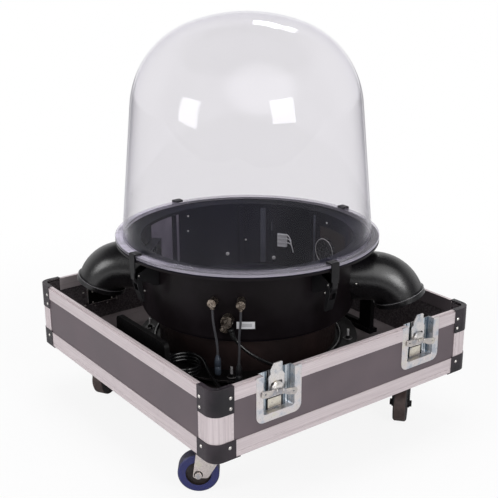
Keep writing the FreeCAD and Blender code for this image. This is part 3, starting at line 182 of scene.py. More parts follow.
class Nodes(Tree):
    """A new material's node tree, with its textures placed in metres."""

    def __init__(self, name):
        self.material = bpy.data.materials.new(name)
        self.material.use_nodes = True
        super().__init__(self.material.node_tree)
        self.tree.nodes.clear()
        self.output = self.tree.nodes.new("ShaderNodeOutputMaterial")
        self.place = self.tree.nodes.new("ShaderNodeTexCoord").outputs["Object"]

    def noise(self, scale, detail=3.0, stretch=None):
        where = self.place
        if stretch:
            where = self.add("ShaderNodeMapping", Vector=self.place, Scale=stretch).outputs[0]
        return self.add("ShaderNodeTexNoise", Vector=where, Scale=scale, Detail=detail,
                        Roughness=0.55).outputs["Fac"]

    def axis(self, letter):
        return self.add("ShaderNodeSeparateXYZ", Vector=self.place).outputs[letter]

    def off_middle(self, letter):
        return self.math("ABSOLUTE", self.axis(letter))

    def radius(self):
        """Distance from the Z axis."""
        x, y = self.axis("X"), self.axis("Y")
        return self.math("SQRT", self.plus(self.times(x, x), self.times(y, y)))

    def bump(self, height, strength, distance, normal=None):
        node = self.add("ShaderNodeBump", Strength=strength, Distance=distance, Height=height)
        if normal is not None:
            self.feed(node.inputs["Normal"], normal)
        return node.outputs[0]

    def rounded(self, radius):
        return self.add("ShaderNodeBevel", Radius=radius).outputs[0]

    def edge(self, radius):
        """Up to 0.8 along sharp edges, where the rounded normal leaves the face's own."""
        own = self.add("ShaderNodeNewGeometry").outputs["True Normal"]
        alike = self.vector("DOT_PRODUCT", self.rounded(radius), own)
        return self.ramp(alike, 0.86, 0.97, 0.8, 0.0)

    def show(self, shader):
        self.tree.links.new(shader, self.output.inputs["Surface"])
        return self.material

    def surface(self, color, roughness, metallic=0.0, normal=None, **more):
        shader = self.add("ShaderNodeBsdfPrincipled", Base_Color=color, Roughness=roughness,
                          Metallic=metallic, **more)
        if normal is not None:
            self.feed(shader.inputs["Normal"], normal)
        return self.show(shader.outputs[0])


# ---------------------------------------------------------------- materials
def laminate():
    """Grey-brown phenolic skin on the outside of the panels, dark board inside."""
    n = Nodes("laminate")
    blotch = n.noise(7.0, 2.0)
    scuff = n.noise(60.0, 6.0, stretch=(1, 1, 3.5))
    skin = n.mix(n.ramp(blotch, 0.3, 0.7), srgb(89, 79, 84), srgb(99, 88, 93))
    skin = n.mix(n.ramp(scuff, 0.68, 0.8, 0.0, 0.3), skin, srgb(140, 131, 135))
    board = n.mix(n.ramp(n.noise(200.0, 5.0), 0.35, 0.7), srgb(58, 53, 56), srgb(100, 93, 96))
    board = n.mix(n.ramp(n.noise(420.0, 2.0), 0.68, 0.74, 0.0, 0.7), board, srgb(168, 162, 164))
    outside = n.math("MAXIMUM", n.above(n.off_middle("X"), PANEL_SKIN_X),
                     n.above(n.off_middle("Y"), PANEL_SKIN_Y))
    rough = n.plus(n.ramp(blotch, 0.3, 0.7, 0.4, 0.5), n.times(outside, 0.06))
    return n.surface(n.mix(outside, board, skin), rough,
                     normal=n.bump(n.noise(900.0, 2.0), 0.12, 0.0006), Specular_IOR_Level=0.35)


def deck_board():
    """Dark brown film-faced floor with drag marks."""
    n = Nodes("deck")
    cloud = n.noise(6.0, 3.0)
    drag = n.noise(1.0, 5.0, stretch=(14, 160, 14))
    color = n.mix(n.ramp(cloud, 0.3, 0.7), srgb(88, 81, 83), srgb(116, 108, 109))
    color = n.mix(n.ramp(drag, 0.6, 0.72, 0.0, 0.6), color, srgb(40, 35, 37))
    color = n.mix(n.ramp(n.noise(300.0, 4.0), 0.64, 0.74, 0.0, 0.7), color, srgb(166, 158, 160))
    return n.surface(color, n.ramp(cloud, 0.3, 0.7, 0.34, 0.46),
                     normal=n.bump(drag, 0.12, 0.0005), Specular_IOR_Level=0.4)


def extrusion():
    """Natural anodised aluminium, drawn along each profile, with dull spots and scratches; the rails' inner sides
    get painted shade.
    """
    n = Nodes("aluminium_extrusion")
    x, y = n.off_middle("X"), n.off_middle("Y")
    corner = n.times(n.within(n.axis("Z"), *POST_HEIGHTS),
                     n.times(n.above(x, POST_X), n.above(y, POST_Y)))
    inner = n.times(n.below(x, RAIL_IN_X), n.below(y, RAIL_IN_Y))
    along = n.noise(1.0, 4.0, stretch=(6, 6, 900))
    upright = n.noise(1.0, 2.0, stretch=(260, 260, 4))
    streak = n.mix(corner, along, upright)
    spot = n.noise(38.0, 5.0)
    color = n.mix(n.ramp(streak, 0.35, 0.65), srgb(196, 184, 187), srgb(212, 201, 203))
    color = n.mix(n.ramp(spot, 0.62, 0.8, 0.0, 0.35), color, srgb(158, 146, 148))
    scratch = n.mix(corner, n.noise(1.0, 3.0, stretch=(24, 24, 420)),
                    n.noise(1.0, 3.0, stretch=(420, 420, 24)))
    color = n.mix(n.ramp(scratch, 0.68, 0.74, 0.0, 0.55), color, srgb(120, 108, 112))
    # Painted shade on the rails' inner sides, which face into the tray.
    color = n.mix(inner, color, srgb(104, 96, 100))
    rough = n.ramp(spot, 0.3, 0.7, 0.36, 0.48)
    return n.surface(color, rough, 0.35, n.bump(streak, 0.06, 0.0004, n.rounded(0.0008)))


def painted(name, color, worn, roughness=0.36, grain=260.0, wear=0.12, depth=0.08, specular=0.5,
            edge_wear_and_highlight=None, metallic=0.0):
    """Paint, rubber, plastic or plating; edge_wear_and_highlight is the colour of its sharp edges: wear on the
    corner brackets, a painted highlight along the base plate.
    """
    n = Nodes(name)
    cloud = n.noise(11.0, 3.0)
    fine = n.noise(grain, 3.0)
    tone = n.mix(n.ramp(cloud, 0.35, 0.7), color, worn)
    # Lighter sharp edges: wear on the brackets, a painted highlight on the base plate.
    if edge_wear_and_highlight:
        tone = n.mix(n.edge(0.0016), tone, edge_wear_and_highlight)
    rough = n.ramp(fine, 0.3, 0.7, roughness - wear / 2, roughness + wear / 2)
    return n.surface(tone, rough, metallic, n.bump(fine, depth, 0.0005, n.rounded(0.0008)),
                     Specular_IOR_Level=specular)


def drum_paint():
    """Satin black outside; a painted bluish sheen inside and on top of the rim, which is also matt."""
    n = Nodes("drum_black")
    top = n.above(n.axis("Z"), RIM_FACE)
    inside = n.times(n.below(n.radius(), DRUM_WALL), n.below(n.axis("Z"), RIM_FACE))
    cloud = n.noise(11.0, 3.0)
    color = n.mix(n.ramp(cloud, 0.35, 0.7), srgb(18, 14, 16), srgb(25, 21, 24))
    # Painted sheen: bluish inside the drum and on the rim's top.
    painted_sheen = n.mix(n.ramp(n.noise(3.2, 1.0, stretch=(1, 1, 0.5)), 0.3, 0.7),
                  srgb(5, 8, 18), srgb(22, 21, 38))
    color = n.mix(n.math("MAXIMUM", inside, top), color, painted_sheen)
    rough = n.plus(n.ramp(cloud, 0.3, 0.7, 0.3, 0.38), n.times(top, 0.45))
    return n.surface(color, rough, normal=n.rounded(0.0008), Specular_IOR_Level=0.1)


def fitting_metal():
    """Tarnished nickel outside the drum; the blanking cap inside it is black."""
    n = Nodes("fittings")
    inside = n.below(n.radius(), FITTING_WALL)
    tarnish = n.noise(120.0, 4.0)
    color = n.mix(n.ramp(tarnish, 0.35, 0.65), srgb(104, 92, 82), srgb(172, 160, 148))
    color = n.mix(n.ramp(n.noise(260.0, 3.0), 0.52, 0.62, 0.0, 0.7), color, srgb(44, 34, 32))
    color = n.mix(inside, color, srgb(16, 16, 19))
    metal = n.ramp(inside, 0.0, 1.0, 0.9, 0.0)
    return n.surface(color, n.ramp(tarnish, 0.3, 0.7, 0.18, 0.34), metal,
                     n.bump(tarnish, 0.3, 0.0008, n.rounded(0.0006)))


def dish_painted_light(n, color):
    """Painted light on a latch dish: painted shade on its back towards the tray, painted reflections down both
    sides of its pocket's back face, and a painted shadow just inside them.
    """
    across = n.math("ABSOLUTE", n.minus(n.off_middle("X"), LATCH_X))
    pocket = n.times(n.below(across, POCKET_HALF), n.above(n.axis("Z"), POCKET_LOW))
    back = n.below(n.off_middle("Y"), DISH_BACK_Y)
    # Painted shade on the dish's back, seen from the tray.
    color = n.mix(n.times(back, pocket), color, srgb(30, 29, 31))
    depth = n.math("ABSOLUTE", n.minus(n.off_middle("Y"), POCKET_FACE_Y))
    face = n.times(n.below(depth, 0.0006), pocket)
    # Painted reflections down the outer parts of the pocket's back face.
    strip = n.times(n.above(across, REFLECTION_FROM), face)
    reflection_bands = n.noise(1.0, 1.0, stretch=(210, 1, 2))
    color = n.mix(strip, color,
                  n.mix(n.ramp(reflection_bands, 0.42, 0.58), srgb(84, 102, 116), srgb(206, 214, 220)))
    # A painted shadow between them and the keeper.
    shadow_gap = n.times(n.above(across, SHADOW_FROM), face)
    return n.mix(n.minus(shadow_gap, strip), color, srgb(34, 36, 40))


def zinc(name="zinc", in_dish=False, cool=srgb(200, 201, 206), warm=srgb(214, 208, 207)):
    """Bright passivated zinc: faint cool and straw tints, and fine spangle; in a dish, painted shade and painted
    reflections too.
    """
    n = Nodes(name)
    hue = n.noise(46.0, 3.0)
    spangle = n.noise(340.0, 3.0)
    color = n.mix(n.ramp(hue, 0.36, 0.56), cool, warm)
    color = n.mix(n.ramp(hue, 0.58, 0.7, 0.0, 0.7), color, srgb(214, 210, 194))
    color = n.mix(n.ramp(hue, 0.3, 0.42, 0.5, 0.0), color, srgb(150, 160, 174))
    color = n.mix(n.ramp(spangle, 0.58, 0.72, 0.0, 0.4), color, srgb(160, 156, 158))
    speck = n.noise(150.0, 4.0)
    color = n.mix(n.ramp(speck, 0.66, 0.74, 0.0, 0.6), color, srgb(96, 88, 88))
    # A dish gets painted shade and painted reflections.
    if in_dish:
        color = dish_painted_light(n, color)
    rough = n.ramp(spangle, 0.3, 0.7, 0.26, 0.4)
    return n.surface(color, rough, 0.85, n.bump(spangle, 0.08, 0.0005, n.rounded(0.0007)))


def stud_metal():
    """Bright threaded studs whose nuts are black above a bright washer."""
    n = Nodes("studs")
    z = n.axis("Z")
    thread = n.math("SINE", n.times(z, THREAD_WAVES))
    # Light crests and dark roots along the thread: painted light and shade.
    bright = n.mix(n.ramp(thread, -0.6, 0.4), srgb(172, 168, 170), srgb(232, 230, 232))
    return n.surface(n.mix(n.within(z, *NUT_HEIGHTS), bright, srgb(24, 23, 24)), 0.3,
                     normal=n.bump(thread, 0.3, 0.0005, n.rounded(0.0006)))


def clear_acrylic():
    """Thin clear wall: it lets light through and mirrors more towards its edges.

    The flange, its sawn edge and the bend above it are milky. On one side the flange's face gets painted light,
    milky in streaks, and its sawn edge is clearer.
    """
    n = Nodes("clear_acrylic")
    x, y, z = n.axis("X"), n.axis("Y"), n.axis("Z")
    radius = n.radius()
    flange = n.below(z, FLANGE_TOP)
    sawn = n.times(flange, n.above(radius, FLANGE_EDGE))
    face = n.minus(flange, sawn)
    bend = n.times(n.ramp(z, 0.5195, 0.5235, 1.0, 0.0), n.ramp(radius, 0.327, 0.3295, 1.0, 0.0))
    smear = n.noise(5.0, 3.0, stretch=(1, 1, 0.35))
    streaks = n.ramp(n.noise(1.0, 4.0, stretch=(26, 26, 3)), 0.3, 0.7, 0.5, 1.0)
    # Painted light on one side of the flange, towards -X and +Y.
    lit_side = n.ramp(n.minus(n.times(y, 0.6), n.times(x, 0.8)), 0.14, 0.33, 0.0, 0.8)
    rings = n.ramp(n.math("SINE", n.times(radius, RING_WAVES)), 0.5, 0.95, 0.0, 0.1)
    milky = n.plus(n.ramp(smear, 0.4, 0.8, 0.001, 0.01), n.times(flange, 0.055))
    milky = n.plus(milky, n.times(bend, 0.16))
    milky = n.plus(milky, n.times(n.times(lit_side, streaks), face))
    milky = n.plus(milky, n.times(sawn, n.minus(0.3, n.times(lit_side, 0.42))))
    milky = n.plus(milky, n.times(rings, flange))
    gloss = n.add("ShaderNodeBsdfGlossy", Color=(0.95, 0.94, 0.98, 1),
                  Roughness=n.plus(n.times(flange, 0.28), 0.02))
    haze = n.add("ShaderNodeBsdfDiffuse", Color=srgb(222, 216, 234))
    through = n.add("ShaderNodeBsdfTransparent", Color=(0.946, 0.941, 0.95, 1))
    facing = n.add("ShaderNodeLayerWeight", Blend=0.5).outputs["Facing"]
    mirror = n.ramp(n.math("POWER", facing, 4.0), 0.0, 1.0, 0.021, 0.85)
    film = n.blend(milky, through.outputs[0], haze.outputs[0])
    return n.show(n.blend(mirror, film, gloss.outputs[0]))


def tyre(joint, color, tread_color, hub_color):
    """Elastic tyre round a dark hub, told apart by the distance from the axle."""
    n = Nodes("tyre_" + joint["name"])
    arm = n.vector("SUBTRACT", n.place, Vector(joint["pos_m"]))
    reach = n.vector("LENGTH", n.vector("CROSS_PRODUCT", arm, Vector(joint["axis"])))
    dust = n.noise(90.0, 4.0)
    tread = n.ramp(reach, TREAD_FROM, TREAD_TO)
    tone = n.mix(n.ramp(dust, 0.5, 0.8, 0.0, 0.35), color, srgb(72, 66, 74))
    tone = n.mix(n.times(tread, n.ramp(dust, 0.3, 0.6, 0.5, 1.0)), tone, tread_color)
    tone = n.mix(n.above(reach, HUB_RADIUS), hub_color, tone)
    return n.surface(tone, n.ramp(dust, 0.3, 0.7, 0.42, 0.6), normal=n.bump(dust, 0.15, 0.0006))


LAMINATE = laminate()
DECK = deck_board()
ALUMINIUM = extrusion()
BRACKET = painted("corner_black", srgb(28, 26, 30), srgb(52, 45, 51), roughness=0.42, grain=420.0,
                  wear=0.25, depth=0.2, specular=0.25, edge_wear_and_highlight=srgb(84, 76, 80))
ZINC = zinc()
DISH_ZINC = zinc("dish_zinc", in_dish=True)
HOOK_ZINC = zinc("hook_zinc", cool=srgb(206, 200, 188), warm=srgb(218, 212, 198))
PALE_ZINC = zinc("pale_zinc", cool=srgb(196, 197, 200), warm=srgb(218, 214, 212))
# Darker and lighter copies of the latch's zinc: painted shade on the wings, a painted highlight on the cams.
SHADED_WING_ZINC = zinc("shaded_wing_zinc", cool=srgb(160, 158, 160), warm=srgb(190, 184, 180))
LIT_CAM_ZINC = zinc("lit_cam_zinc", cool=srgb(222, 220, 220), warm=srgb(234, 230, 226))
FORK_ZINC = zinc("fork_zinc", cool=srgb(206, 198, 194), warm=srgb(216, 206, 202))
DRUM = drum_paint()
ELBOW = painted("elbow_black", srgb(10, 9, 11), srgb(16, 15, 18), roughness=0.3, grain=500.0,
                wear=0.08, depth=0.05, specular=0.7)
PLINTH = painted("plinth_brown", srgb(30, 21, 21), srgb(42, 30, 29), roughness=0.5, grain=120.0,
                 wear=0.2, depth=0.1, specular=0.3)
BLACK_METAL = painted("black_metal", srgb(19, 19, 21), srgb(30, 29, 31), roughness=0.45,
                      grain=350.0, wear=0.15, depth=0.08, specular=0.2)
BLACK_WOOD = painted("black_wood", srgb(8, 7, 8), srgb(14, 13, 14), roughness=0.55, grain=150.0,
                     wear=0.2, depth=0.3, specular=0.2)
RUBBER = painted("black_rubber", srgb(13, 13, 14), srgb(22, 21, 22), roughness=0.55, grain=300.0,
                 wear=0.15, depth=0.2, specular=0.3)
MOUNT_RUBBER = painted("mount_rubber", srgb(34, 33, 35), srgb(50, 48, 50), roughness=0.5,
                       grain=300.0, wear=0.15, depth=0.2, specular=0.4)
SHEATH = painted("cord_sheath", srgb(13, 13, 15), srgb(20, 20, 22), roughness=0.26, grain=600.0,
                 wear=0.1, depth=0.05, specular=0.6)
LEAD_SHEATH = painted("lead_sheath", srgb(58, 58, 62), srgb(74, 74, 78), roughness=0.34,
                      grain=600.0, wear=0.1, depth=0.05, specular=0.6)
# Its light edges are a painted highlight along the plate.
BASE = painted("base_plate", srgb(16, 15, 16), srgb(27, 25, 27), roughness=0.45, grain=350.0,
               wear=0.15, depth=0.08, specular=0.2, edge_wear_and_highlight=srgb(150, 144, 146))
STEEL = painted("plated_steel", srgb(186, 182, 178), srgb(205, 202, 198), roughness=0.3,
                grain=200.0, wear=0.1, depth=0.05, metallic=0.9)
NICKEL = painted("nickel", srgb(150, 138, 128), srgb(176, 166, 156), roughness=0.3, grain=200.0,
                 wear=0.1, depth=0.05, metallic=0.9)
PALE = painted("pale_plastic", srgb(188, 188, 192), srgb(204, 204, 208), roughness=0.45)
WHITE = painted("white_plate", srgb(226, 226, 230), srgb(236, 236, 238), roughness=0.4)
# Light and not metallic, so that it shows inside the dark drum: painted light on steel.
STUD = painted("stud_steel_lit", srgb(206, 204, 206), srgb(226, 224, 226), roughness=0.3, grain=200.0,
               wear=0.1, depth=0.05)
MOUNT_STUD = stud_metal()
DOME = clear_acrylic()
FITTINGS = fitting_metal()
INNER_GREY = painted("inner_grey", srgb(98, 92, 108), srgb(128, 122, 136), roughness=0.45,
                     grain=90.0, wear=0.1, depth=0.2)
INNER_BLUE = painted("inner_blue", srgb(48, 50, 62), srgb(66, 68, 80), roughness=0.45, grain=90.0,
                     wear=0.1, depth=0.2)
# The collar bead's light grey is a painted highlight on the black elbow.
BEAD_HIGHLIGHT = painted("collar_bead", srgb(120, 118, 122), srgb(150, 148, 152), roughness=0.35,
               grain=300.0, wear=0.1, depth=0.1)

SLOT_MATERIALS = {
    "laminate": LAMINATE, "deck": DECK, "aluminium": ALUMINIUM, "bracket": BRACKET,
    "rivet": STEEL, "black_wood": BLACK_WOOD, "zinc": ZINC, "black_metal": BLACK_METAL,
    "black_rubber": RUBBER, "plinth": PLINTH, "drum": DRUM, "clear": DOME, "elbow": ELBOW,
    "fan_plastic": BLACK_METAL, "nickel": NICKEL, "pale_plastic": PALE, "cable": SHEATH,
}
# These go before the slot's material; a name stands for every node that begins with it.
NODE_MATERIALS = {
    "latch_dishes": DISH_ZINC, "latch_hook_": PALE_ZINC, "latch_cam_": LIT_CAM_ZINC,
    "latch_wing_": SHADED_WING_ZINC, "cable_fittings": FITTINGS, "rubber_mounts": MOUNT_RUBBER,
    "mount_studs": MOUNT_STUD, "base_plate": BASE, "fan_housing": DRUM, "castor_fork_fl": FORK_ZINC,
    # The other forks are black; on the front right one this is painted shade over zinc.
    "castor_fork_": BLACK_METAL,
}


def wheel_material(name):
    """Only the front left wheel has a blue tyre."""
    joint = joints["wheel_spin_" + name[-2:]]
    if name.endswith("fl"):
        return tyre(joint, srgb(38, 42, 96), srgb(52, 50, 66), srgb(36, 28, 28))
    return tyre(joint, srgb(26, 23, 24), srgb(74, 60, 57), srgb(36, 28, 28))


def dress_nodes():
    slots = {part["node"]: part["material_slot"] for part in frame["record"]["subparts"]}
    for name, node in nodes.items():
        own = [NODE_MATERIALS[start] for start in NODE_MATERIALS if name.startswith(start)]
        if name.startswith("castor_wheel_"):
            material = wheel_material(name)
        else:
            material = own[0] if own else SLOT_MATERIALS[slots[name]]
        node.data.materials.clear()
        node.data.materials.append(material)


dress_nodes()


# ---------------------------------------------------------------- pieces
def settle(piece, material, body, slot, *replaced):
    piece.data.materials.append(material)
    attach(piece, body)
    if replaced:
        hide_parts(*replaced)
    return piece


def new_object(name, data):
    piece = bpy.data.objects.new(name, data)
    bpy.context.scene.collection.objects.link(piece)
    return piece


def mesh_object(name, bm, smooth=True):
    data = bpy.data.meshes.new(name)
    bmesh.ops.recalc_face_normals(bm, faces=bm.faces)
    bm.to_mesh(data)
    bm.free()
    if smooth:
        data.shade_smooth()
    return new_object(name, data)


def lathe(bm, profile, start, direction, steps=20):
    """Adds a closed turned form: (radius, distance) along direction from start."""
    direction = Vector(direction).normalized()
    side = direction.orthogonal().normalized()
    other = direction.cross(side)
    start = Vector(start)
    rings = []
    for radius, along in profile:
        centre = start + direction * along
        if radius < 1e-7:
            rings.append([bm.verts.new(centre)])
            continue
        rings.append([bm.verts.new(centre + (side * math.cos(a) + other * math.sin(a)) * radius)
                      for a in (2 * math.pi * k / steps for k in range(steps))])
    for low, high in zip(rings, rings[1:]):
        for k in range(steps):
            m = (k + 1) % steps
            corners = [low[k % len(low)], low[m % len(low)], high[m % len(high)],
                       high[k % len(high)]]
            corners = list(dict.fromkeys(corners))
            if len(corners) > 2:
                bm.faces.new(corners)
    return bm


def polar(radius, degrees, z):
    angle = math.radians(degrees)
    return Vector((radius * math.cos(angle), radius * math.sin(angle), z))


def nurbs(name, points, diameter):
    """Round cord along a smooth line with the points as its controls."""
    curve = bpy.data.curves.new(name, "CURVE")
    curve.dimensions = "3D"
    spline = curve.splines.new("NURBS")
    spline.points.add(len(points) - 1)
    for control, point in zip(spline.points, points):
        control.co = (*point, 1.0)
        control.radius = diameter / 2
    spline.order_u = 3
    spline.use_endpoint_u = True
    spline.resolution_u = 8
    curve.bevel_depth = 1.0
    curve.bevel_resolution = 4
    curve.use_fill_caps = True
    return new_object(name, curve)


# ---------------------------------------------------------------- cords
DRUM_R, RIM_Z = 285.0, 503.5
PLATE_TOP, DECK_Z = 222.5, 188.5
CORD_D, LEAD_D = 9.0, 6.0
LAY_Z = PLATE_TOP + CORD_D / 2 + 0.3
GLAND_ANGLE, GLAND_LEAN, GLAND_OUT, GLAND_DROP = -136.0, math.radians(20), 14.0, 122.0
COIL_AT, COIL_R, COIL_RISE = Vector((-276.5, -100.0)), 44.0, 9.2
COIL_START, COIL_SWEEP, TIE_TURNED = 20, 3 * 360 + 20, 490      # degrees
SOCKETS = {"a": (-143.0, 78.0, 14.0), "b": (-129.5, 73.0, 28.0)}     # degrees, drop, stand-off
PLUG_R = 15.0


def gland_mouth(reach):
    """Point on the power gland's leaning axis, so many mm along it."""
    side = reach * math.sin(GLAND_LEAN)
    radius = DRUM_R + GLAND_OUT
    angle = GLAND_ANGLE + math.degrees(math.atan2(side, radius))
    return polar(math.hypot(radius, side), angle, RIM_Z - GLAND_DROP - reach * math.cos(GLAND_LEAN))


def power_points():
    """From the gland, down beside the drum, and round it on the base plate."""
    r = DRUM_R + GLAND_OUT
    points = [gland_mouth(28.0), gland_mouth(52.0), polar(r + 1, -127.4, 305),
              polar(r - 1, -121.5, 282), polar(r - 8, -114.0, 258), polar(r - 22, -104.0, 238),
              polar(r - 36, -91.0, LAY_Z)]
    points += [polar(257.0, -91.0 + 18.0 * k, LAY_Z) for k in range(1, 15)]
    return points + [Vector((-254, 20, LAY_Z)), Vector((-252, -40, LAY_Z))]


def coil_place(turned):
    """Middle of the cord after so many degrees of the coil, and the angle there."""
    angle = math.radians(COIL_START - turned)
    return Vector((COIL_AT.x + COIL_R * math.cos(angle), COIL_AT.y + COIL_R * math.sin(angle),
                   LAY_Z + COIL_RISE * turned / 360)), angle


def coil_points():
    """Round turns lying on each other, wound clockwise."""
    return [coil_place(turned)[0] for turned in range(0, COIL_SWEEP + 1, 20)]


def coil_tie():
    """Strap round the stacked turns, at the front of the coil."""
    middle, angle = coil_place(TIE_TURNED)
    out = Vector((math.cos(angle), math.sin(angle), 0))
    along = Vector((-math.sin(angle), math.cos(angle), 0))
    steps, half = 24, CORD_D / 2 + 0.4
    bm, rings = bmesh.new(), []
    for k in range(steps):
        a = 2 * math.pi * (k + 0.5) / steps
        centre = middle + Vector((0, 0, math.copysign(COIL_RISE, math.sin(a))))
        ray = out * math.cos(a) + Vector((0, 0, math.sin(a)))
        rings.append([bm.verts.new((centre + ray * (half + deep) + along * wide) * MM)
                      for deep, wide in ((0, -3), (0, 3), (0.8, 3), (0.8, -3))])
    for k in range(steps):
        low, high = rings[k], rings[(k + 1) % steps]
        for j in range(4):
            bm.faces.new([low[j], low[(j + 1) % 4], high[(j + 1) % 4], high[j]])
    return settle(mesh_object("coil_tie", bm), RUBBER, "root", "black_rubber")


def tail_points():
    """From the coil down into the tray, to the plug."""
    return [Vector(p) for p in ((-233, -128, LAY_Z + 29), (-243, -160, LAY_Z + 18),
                                (-250, -192, LAY_Z + 4), (-247, -232, LAY_Z - 14),
                                (-232, -268, DECK_Z + 10),
                                (-206, -298, DECK_Z + 9), (-170, -318, DECK_Z + PLUG_R - 2),
                                (-132, -326, DECK_Z + PLUG_R + 0.3))]


def lead_points(name):
    angle, drop, stand_off = SOCKETS[name]
    top, r = RIM_Z - drop - 16.0, DRUM_R + stand_off
    if name == "a":
        return [polar(r, angle, top), polar(r, angle, top - 26),
                polar(r + 3, angle + 1.4, top - 62), polar(r + 1, angle + 2.3, top - 98),
                polar(r, angle + 2.2, top - 120)]
    return [polar(r, angle, top), polar(r, angle, top - 28), polar(r + 2, angle - 0.9, top - 66),
            polar(r + 1, angle - 0.6, top - 104), polar(r, angle - 1.0, top - 138)]


def run_length(piece):
    """Length of a curve's own centre line."""
    depth, piece.data.bevel_depth = piece.data.bevel_depth, 0.0
    line = bpy.data.meshes.new_from_object(piece)
    piece.data.bevel_depth = depth
    return sum((line.vertices[e.vertices[0]].co - line.vertices[e.vertices[1]].co).length
               for e in line.edges)


def line_connector(name):
    """Tapered in-line connector with a ribbed boot, in place of the plain one."""
    top = lead_points(name)[-1]
    boot = [(0.0, 0.0), (3.6, 0.0)]
    for k in range(4):
        boot += [(4.4 + k, 1.0 + 3.2 * k), (4.4 + k, 2.6 + 3.2 * k), (3.9 + k, 3.2 + 3.2 * k)]
    body = [(7.8, 14.5), (8.0, 16.0), (8.0, 28.0), (7.3, 28.6), (7.3, 30.0), (8.0, 30.6),
            (8.0, 50.0), (7.2, 51.8), (5.4, 51.8), (5.2, 47.0), (0.0, 47.0)]
    bm = lathe(bmesh.new(), [(r * MM, d * MM) for r, d in boot + body], top * MM, (0, 0, -1), 24)
    return mesh_object("line_connector_" + name, bm)


def make_cords():
    points = power_points() + coil_points() + tail_points()
    cord = nurbs("power_cord_line", [p * MM for p in points], CORD_D * MM)
    settle(cord, SHEATH, "root", "cable", "power_cord", "cord_coil")
    run_length(cord)
    coil_tie()
    for name in SOCKETS:
        points = lead_points(name)
        lead = nurbs("signal_line_" + name, [p * MM for p in points], LEAD_D * MM)
        settle(lead, LEAD_SHEATH, "root", "cable", "signal_lead_" + name)
        plug = line_connector(name)
        color = srgb(62, 70, 82) if name == "a" else srgb(30, 31, 34)
        settle(plug, painted("connector_" + name, color, color, 0.35), "root", "black_rubber",
               "line_plugs")
        run_length(lead)


make_cords()


# ---------------------------------------------------------------- small hardware
CORNERS = [(sx, sy) for sx in (-1, 1) for sy in (-1, 1)]
LATCH_AT, FLANGE_Y, WALL_IN, TUB_BACK = 228.0, 426.5, 416.0, 408.0
FLANGE_RIVETS = ((-56, 276), (56, 276), (-52, 235), (52, 235), (-20, 229), (20, 229))
TUB_RIVETS = ((-31, 244), (31, 244), (-31, 276), (31, 276))
KEEPER_SHADOW_Y, KEEPER_Y = 409.6, 410.0
DRUM_IN, PANEL_R, STRAP_R = 281.0, 279.6, 279.8     # the drum's inner face, and what lies on it
BRACKET_R, BRACKET_Z, BRACKET_HALF = 343, 469, 15.5     # heads on the draw latches' brackets
ELBOW_ANGLES, ELBOW_STUB, ELBOW_DROP = (135.0, -45.0), 52.0, 98.0
ELBOW_BEND, ELBOW_SWEEP = 72.0, math.radians(70.0)


def domed(bm, place, direction, radius, height):
    """Low domed head standing on place."""
    lathe(bm, [(0.0, -0.5 * MM), (radius, -0.5 * MM), (radius, 0.25 * height),
               (0.86 * radius, 0.7 * height), (0.5 * radius, 0.95 * height), (0.0, height)],
          place, direction, 16)


def fitted(name, heads, material, body="root", slot="rivet"):
    """One piece of domed heads: (x, y, z in mm, direction, radius, height in mm)."""
    bm = bmesh.new()
    for place, direction, radius, height in heads:
        domed(bm, Vector(place) * MM, direction, radius * MM, height * MM)
    return settle(mesh_object(name, bm), material, body, slot)


def arc_panel(bm, radius, a0, a1, z0, z1, thick, steps=10):
    """Thin plate lying on a cylinder about the Z axis, in mm and degrees."""
    rings = []
    for k in range(steps + 1):
        a = a0 + (a1 - a0) * k / steps
        rings.append([bm.verts.new(polar(r, a, z) * MM)
                      for r, z in ((radius, z0), (radius, z1), (radius + thick, z1),
                                   (radius + thick, z0))])
    for low, high in zip(rings, rings[1:]):
        for k in range(4):
            bm.faces.new([low[k], low[(k + 1) % 4], high[(k + 1) % 4], high[k]])
    bm.faces.new(rings[0])
    bm.faces.new(rings[-1])


def rounded_plate(bm, corners, depth, radius, y, inward):
    """Plate with rounded corners in the XZ plane, depth thick from y inward, in mm."""
    (x0, z0), (x1, z1) = corners
    outline = []
    for cx, cz, a0 in ((x1 - radius, z1 - radius, 0), (x0 + radius, z1 - radius, 90),
                       (x0 + radius, z0 + radius, 180), (x1 - radius, z0 + radius, 270)):
        for k in range(5):
            a = math.radians(a0 + 22.5 * k)
            outline.append((cx + radius * math.cos(a), cz + radius * math.sin(a)))
    mid_x, mid_z = (x0 + x1) / 2, (z0 + z1) / 2
    rings = []
    for inset, level in ((0.0, 0.0), (0.0, depth - 0.5), (0.5, depth)):
        share = 1 - inset / ((x1 - x0) / 2)
        rings.append([bm.verts.new(Vector((mid_x + (x - mid_x) * share, y + inward * level,
                                           mid_z + (z - mid_z) * share)) * MM)
                      for x, z in outline])
    for low, high in zip(rings, rings[1:]):
        for k in range(len(outline)):
            m = (k + 1) % len(outline)
            bm.faces.new([low[k], low[m], high[m], high[k]])
    bm.faces.new(rings[0])
    bm.faces.new(rings[-1])


def ring(bm, centre, axis, radius, wire, steps=48, sides=6):
    """Adds a round wire ring, in mm, about the axis."""
    axis = Vector(axis).normalized()
    side = axis.orthogonal().normalized()
    other = axis.cross(side)
    rings = []
    for k in range(steps):
        a = 2 * math.pi * k / steps
        ray = side * math.cos(a) + other * math.sin(a)
        rings.append([bm.verts.new((centre + ray * (radius + wire * math.cos(b))
                                    + axis * wire * math.sin(b)) * MM)
                      for b in (2 * math.pi * j / sides for j in range(sides))])
    for k in range(steps):
        low, high = rings[k], rings[(k + 1) % steps]
        for j in range(sides):
            bm.faces.new([low[j], low[(j + 1) % sides], high[(j + 1) % sides], high[j]])


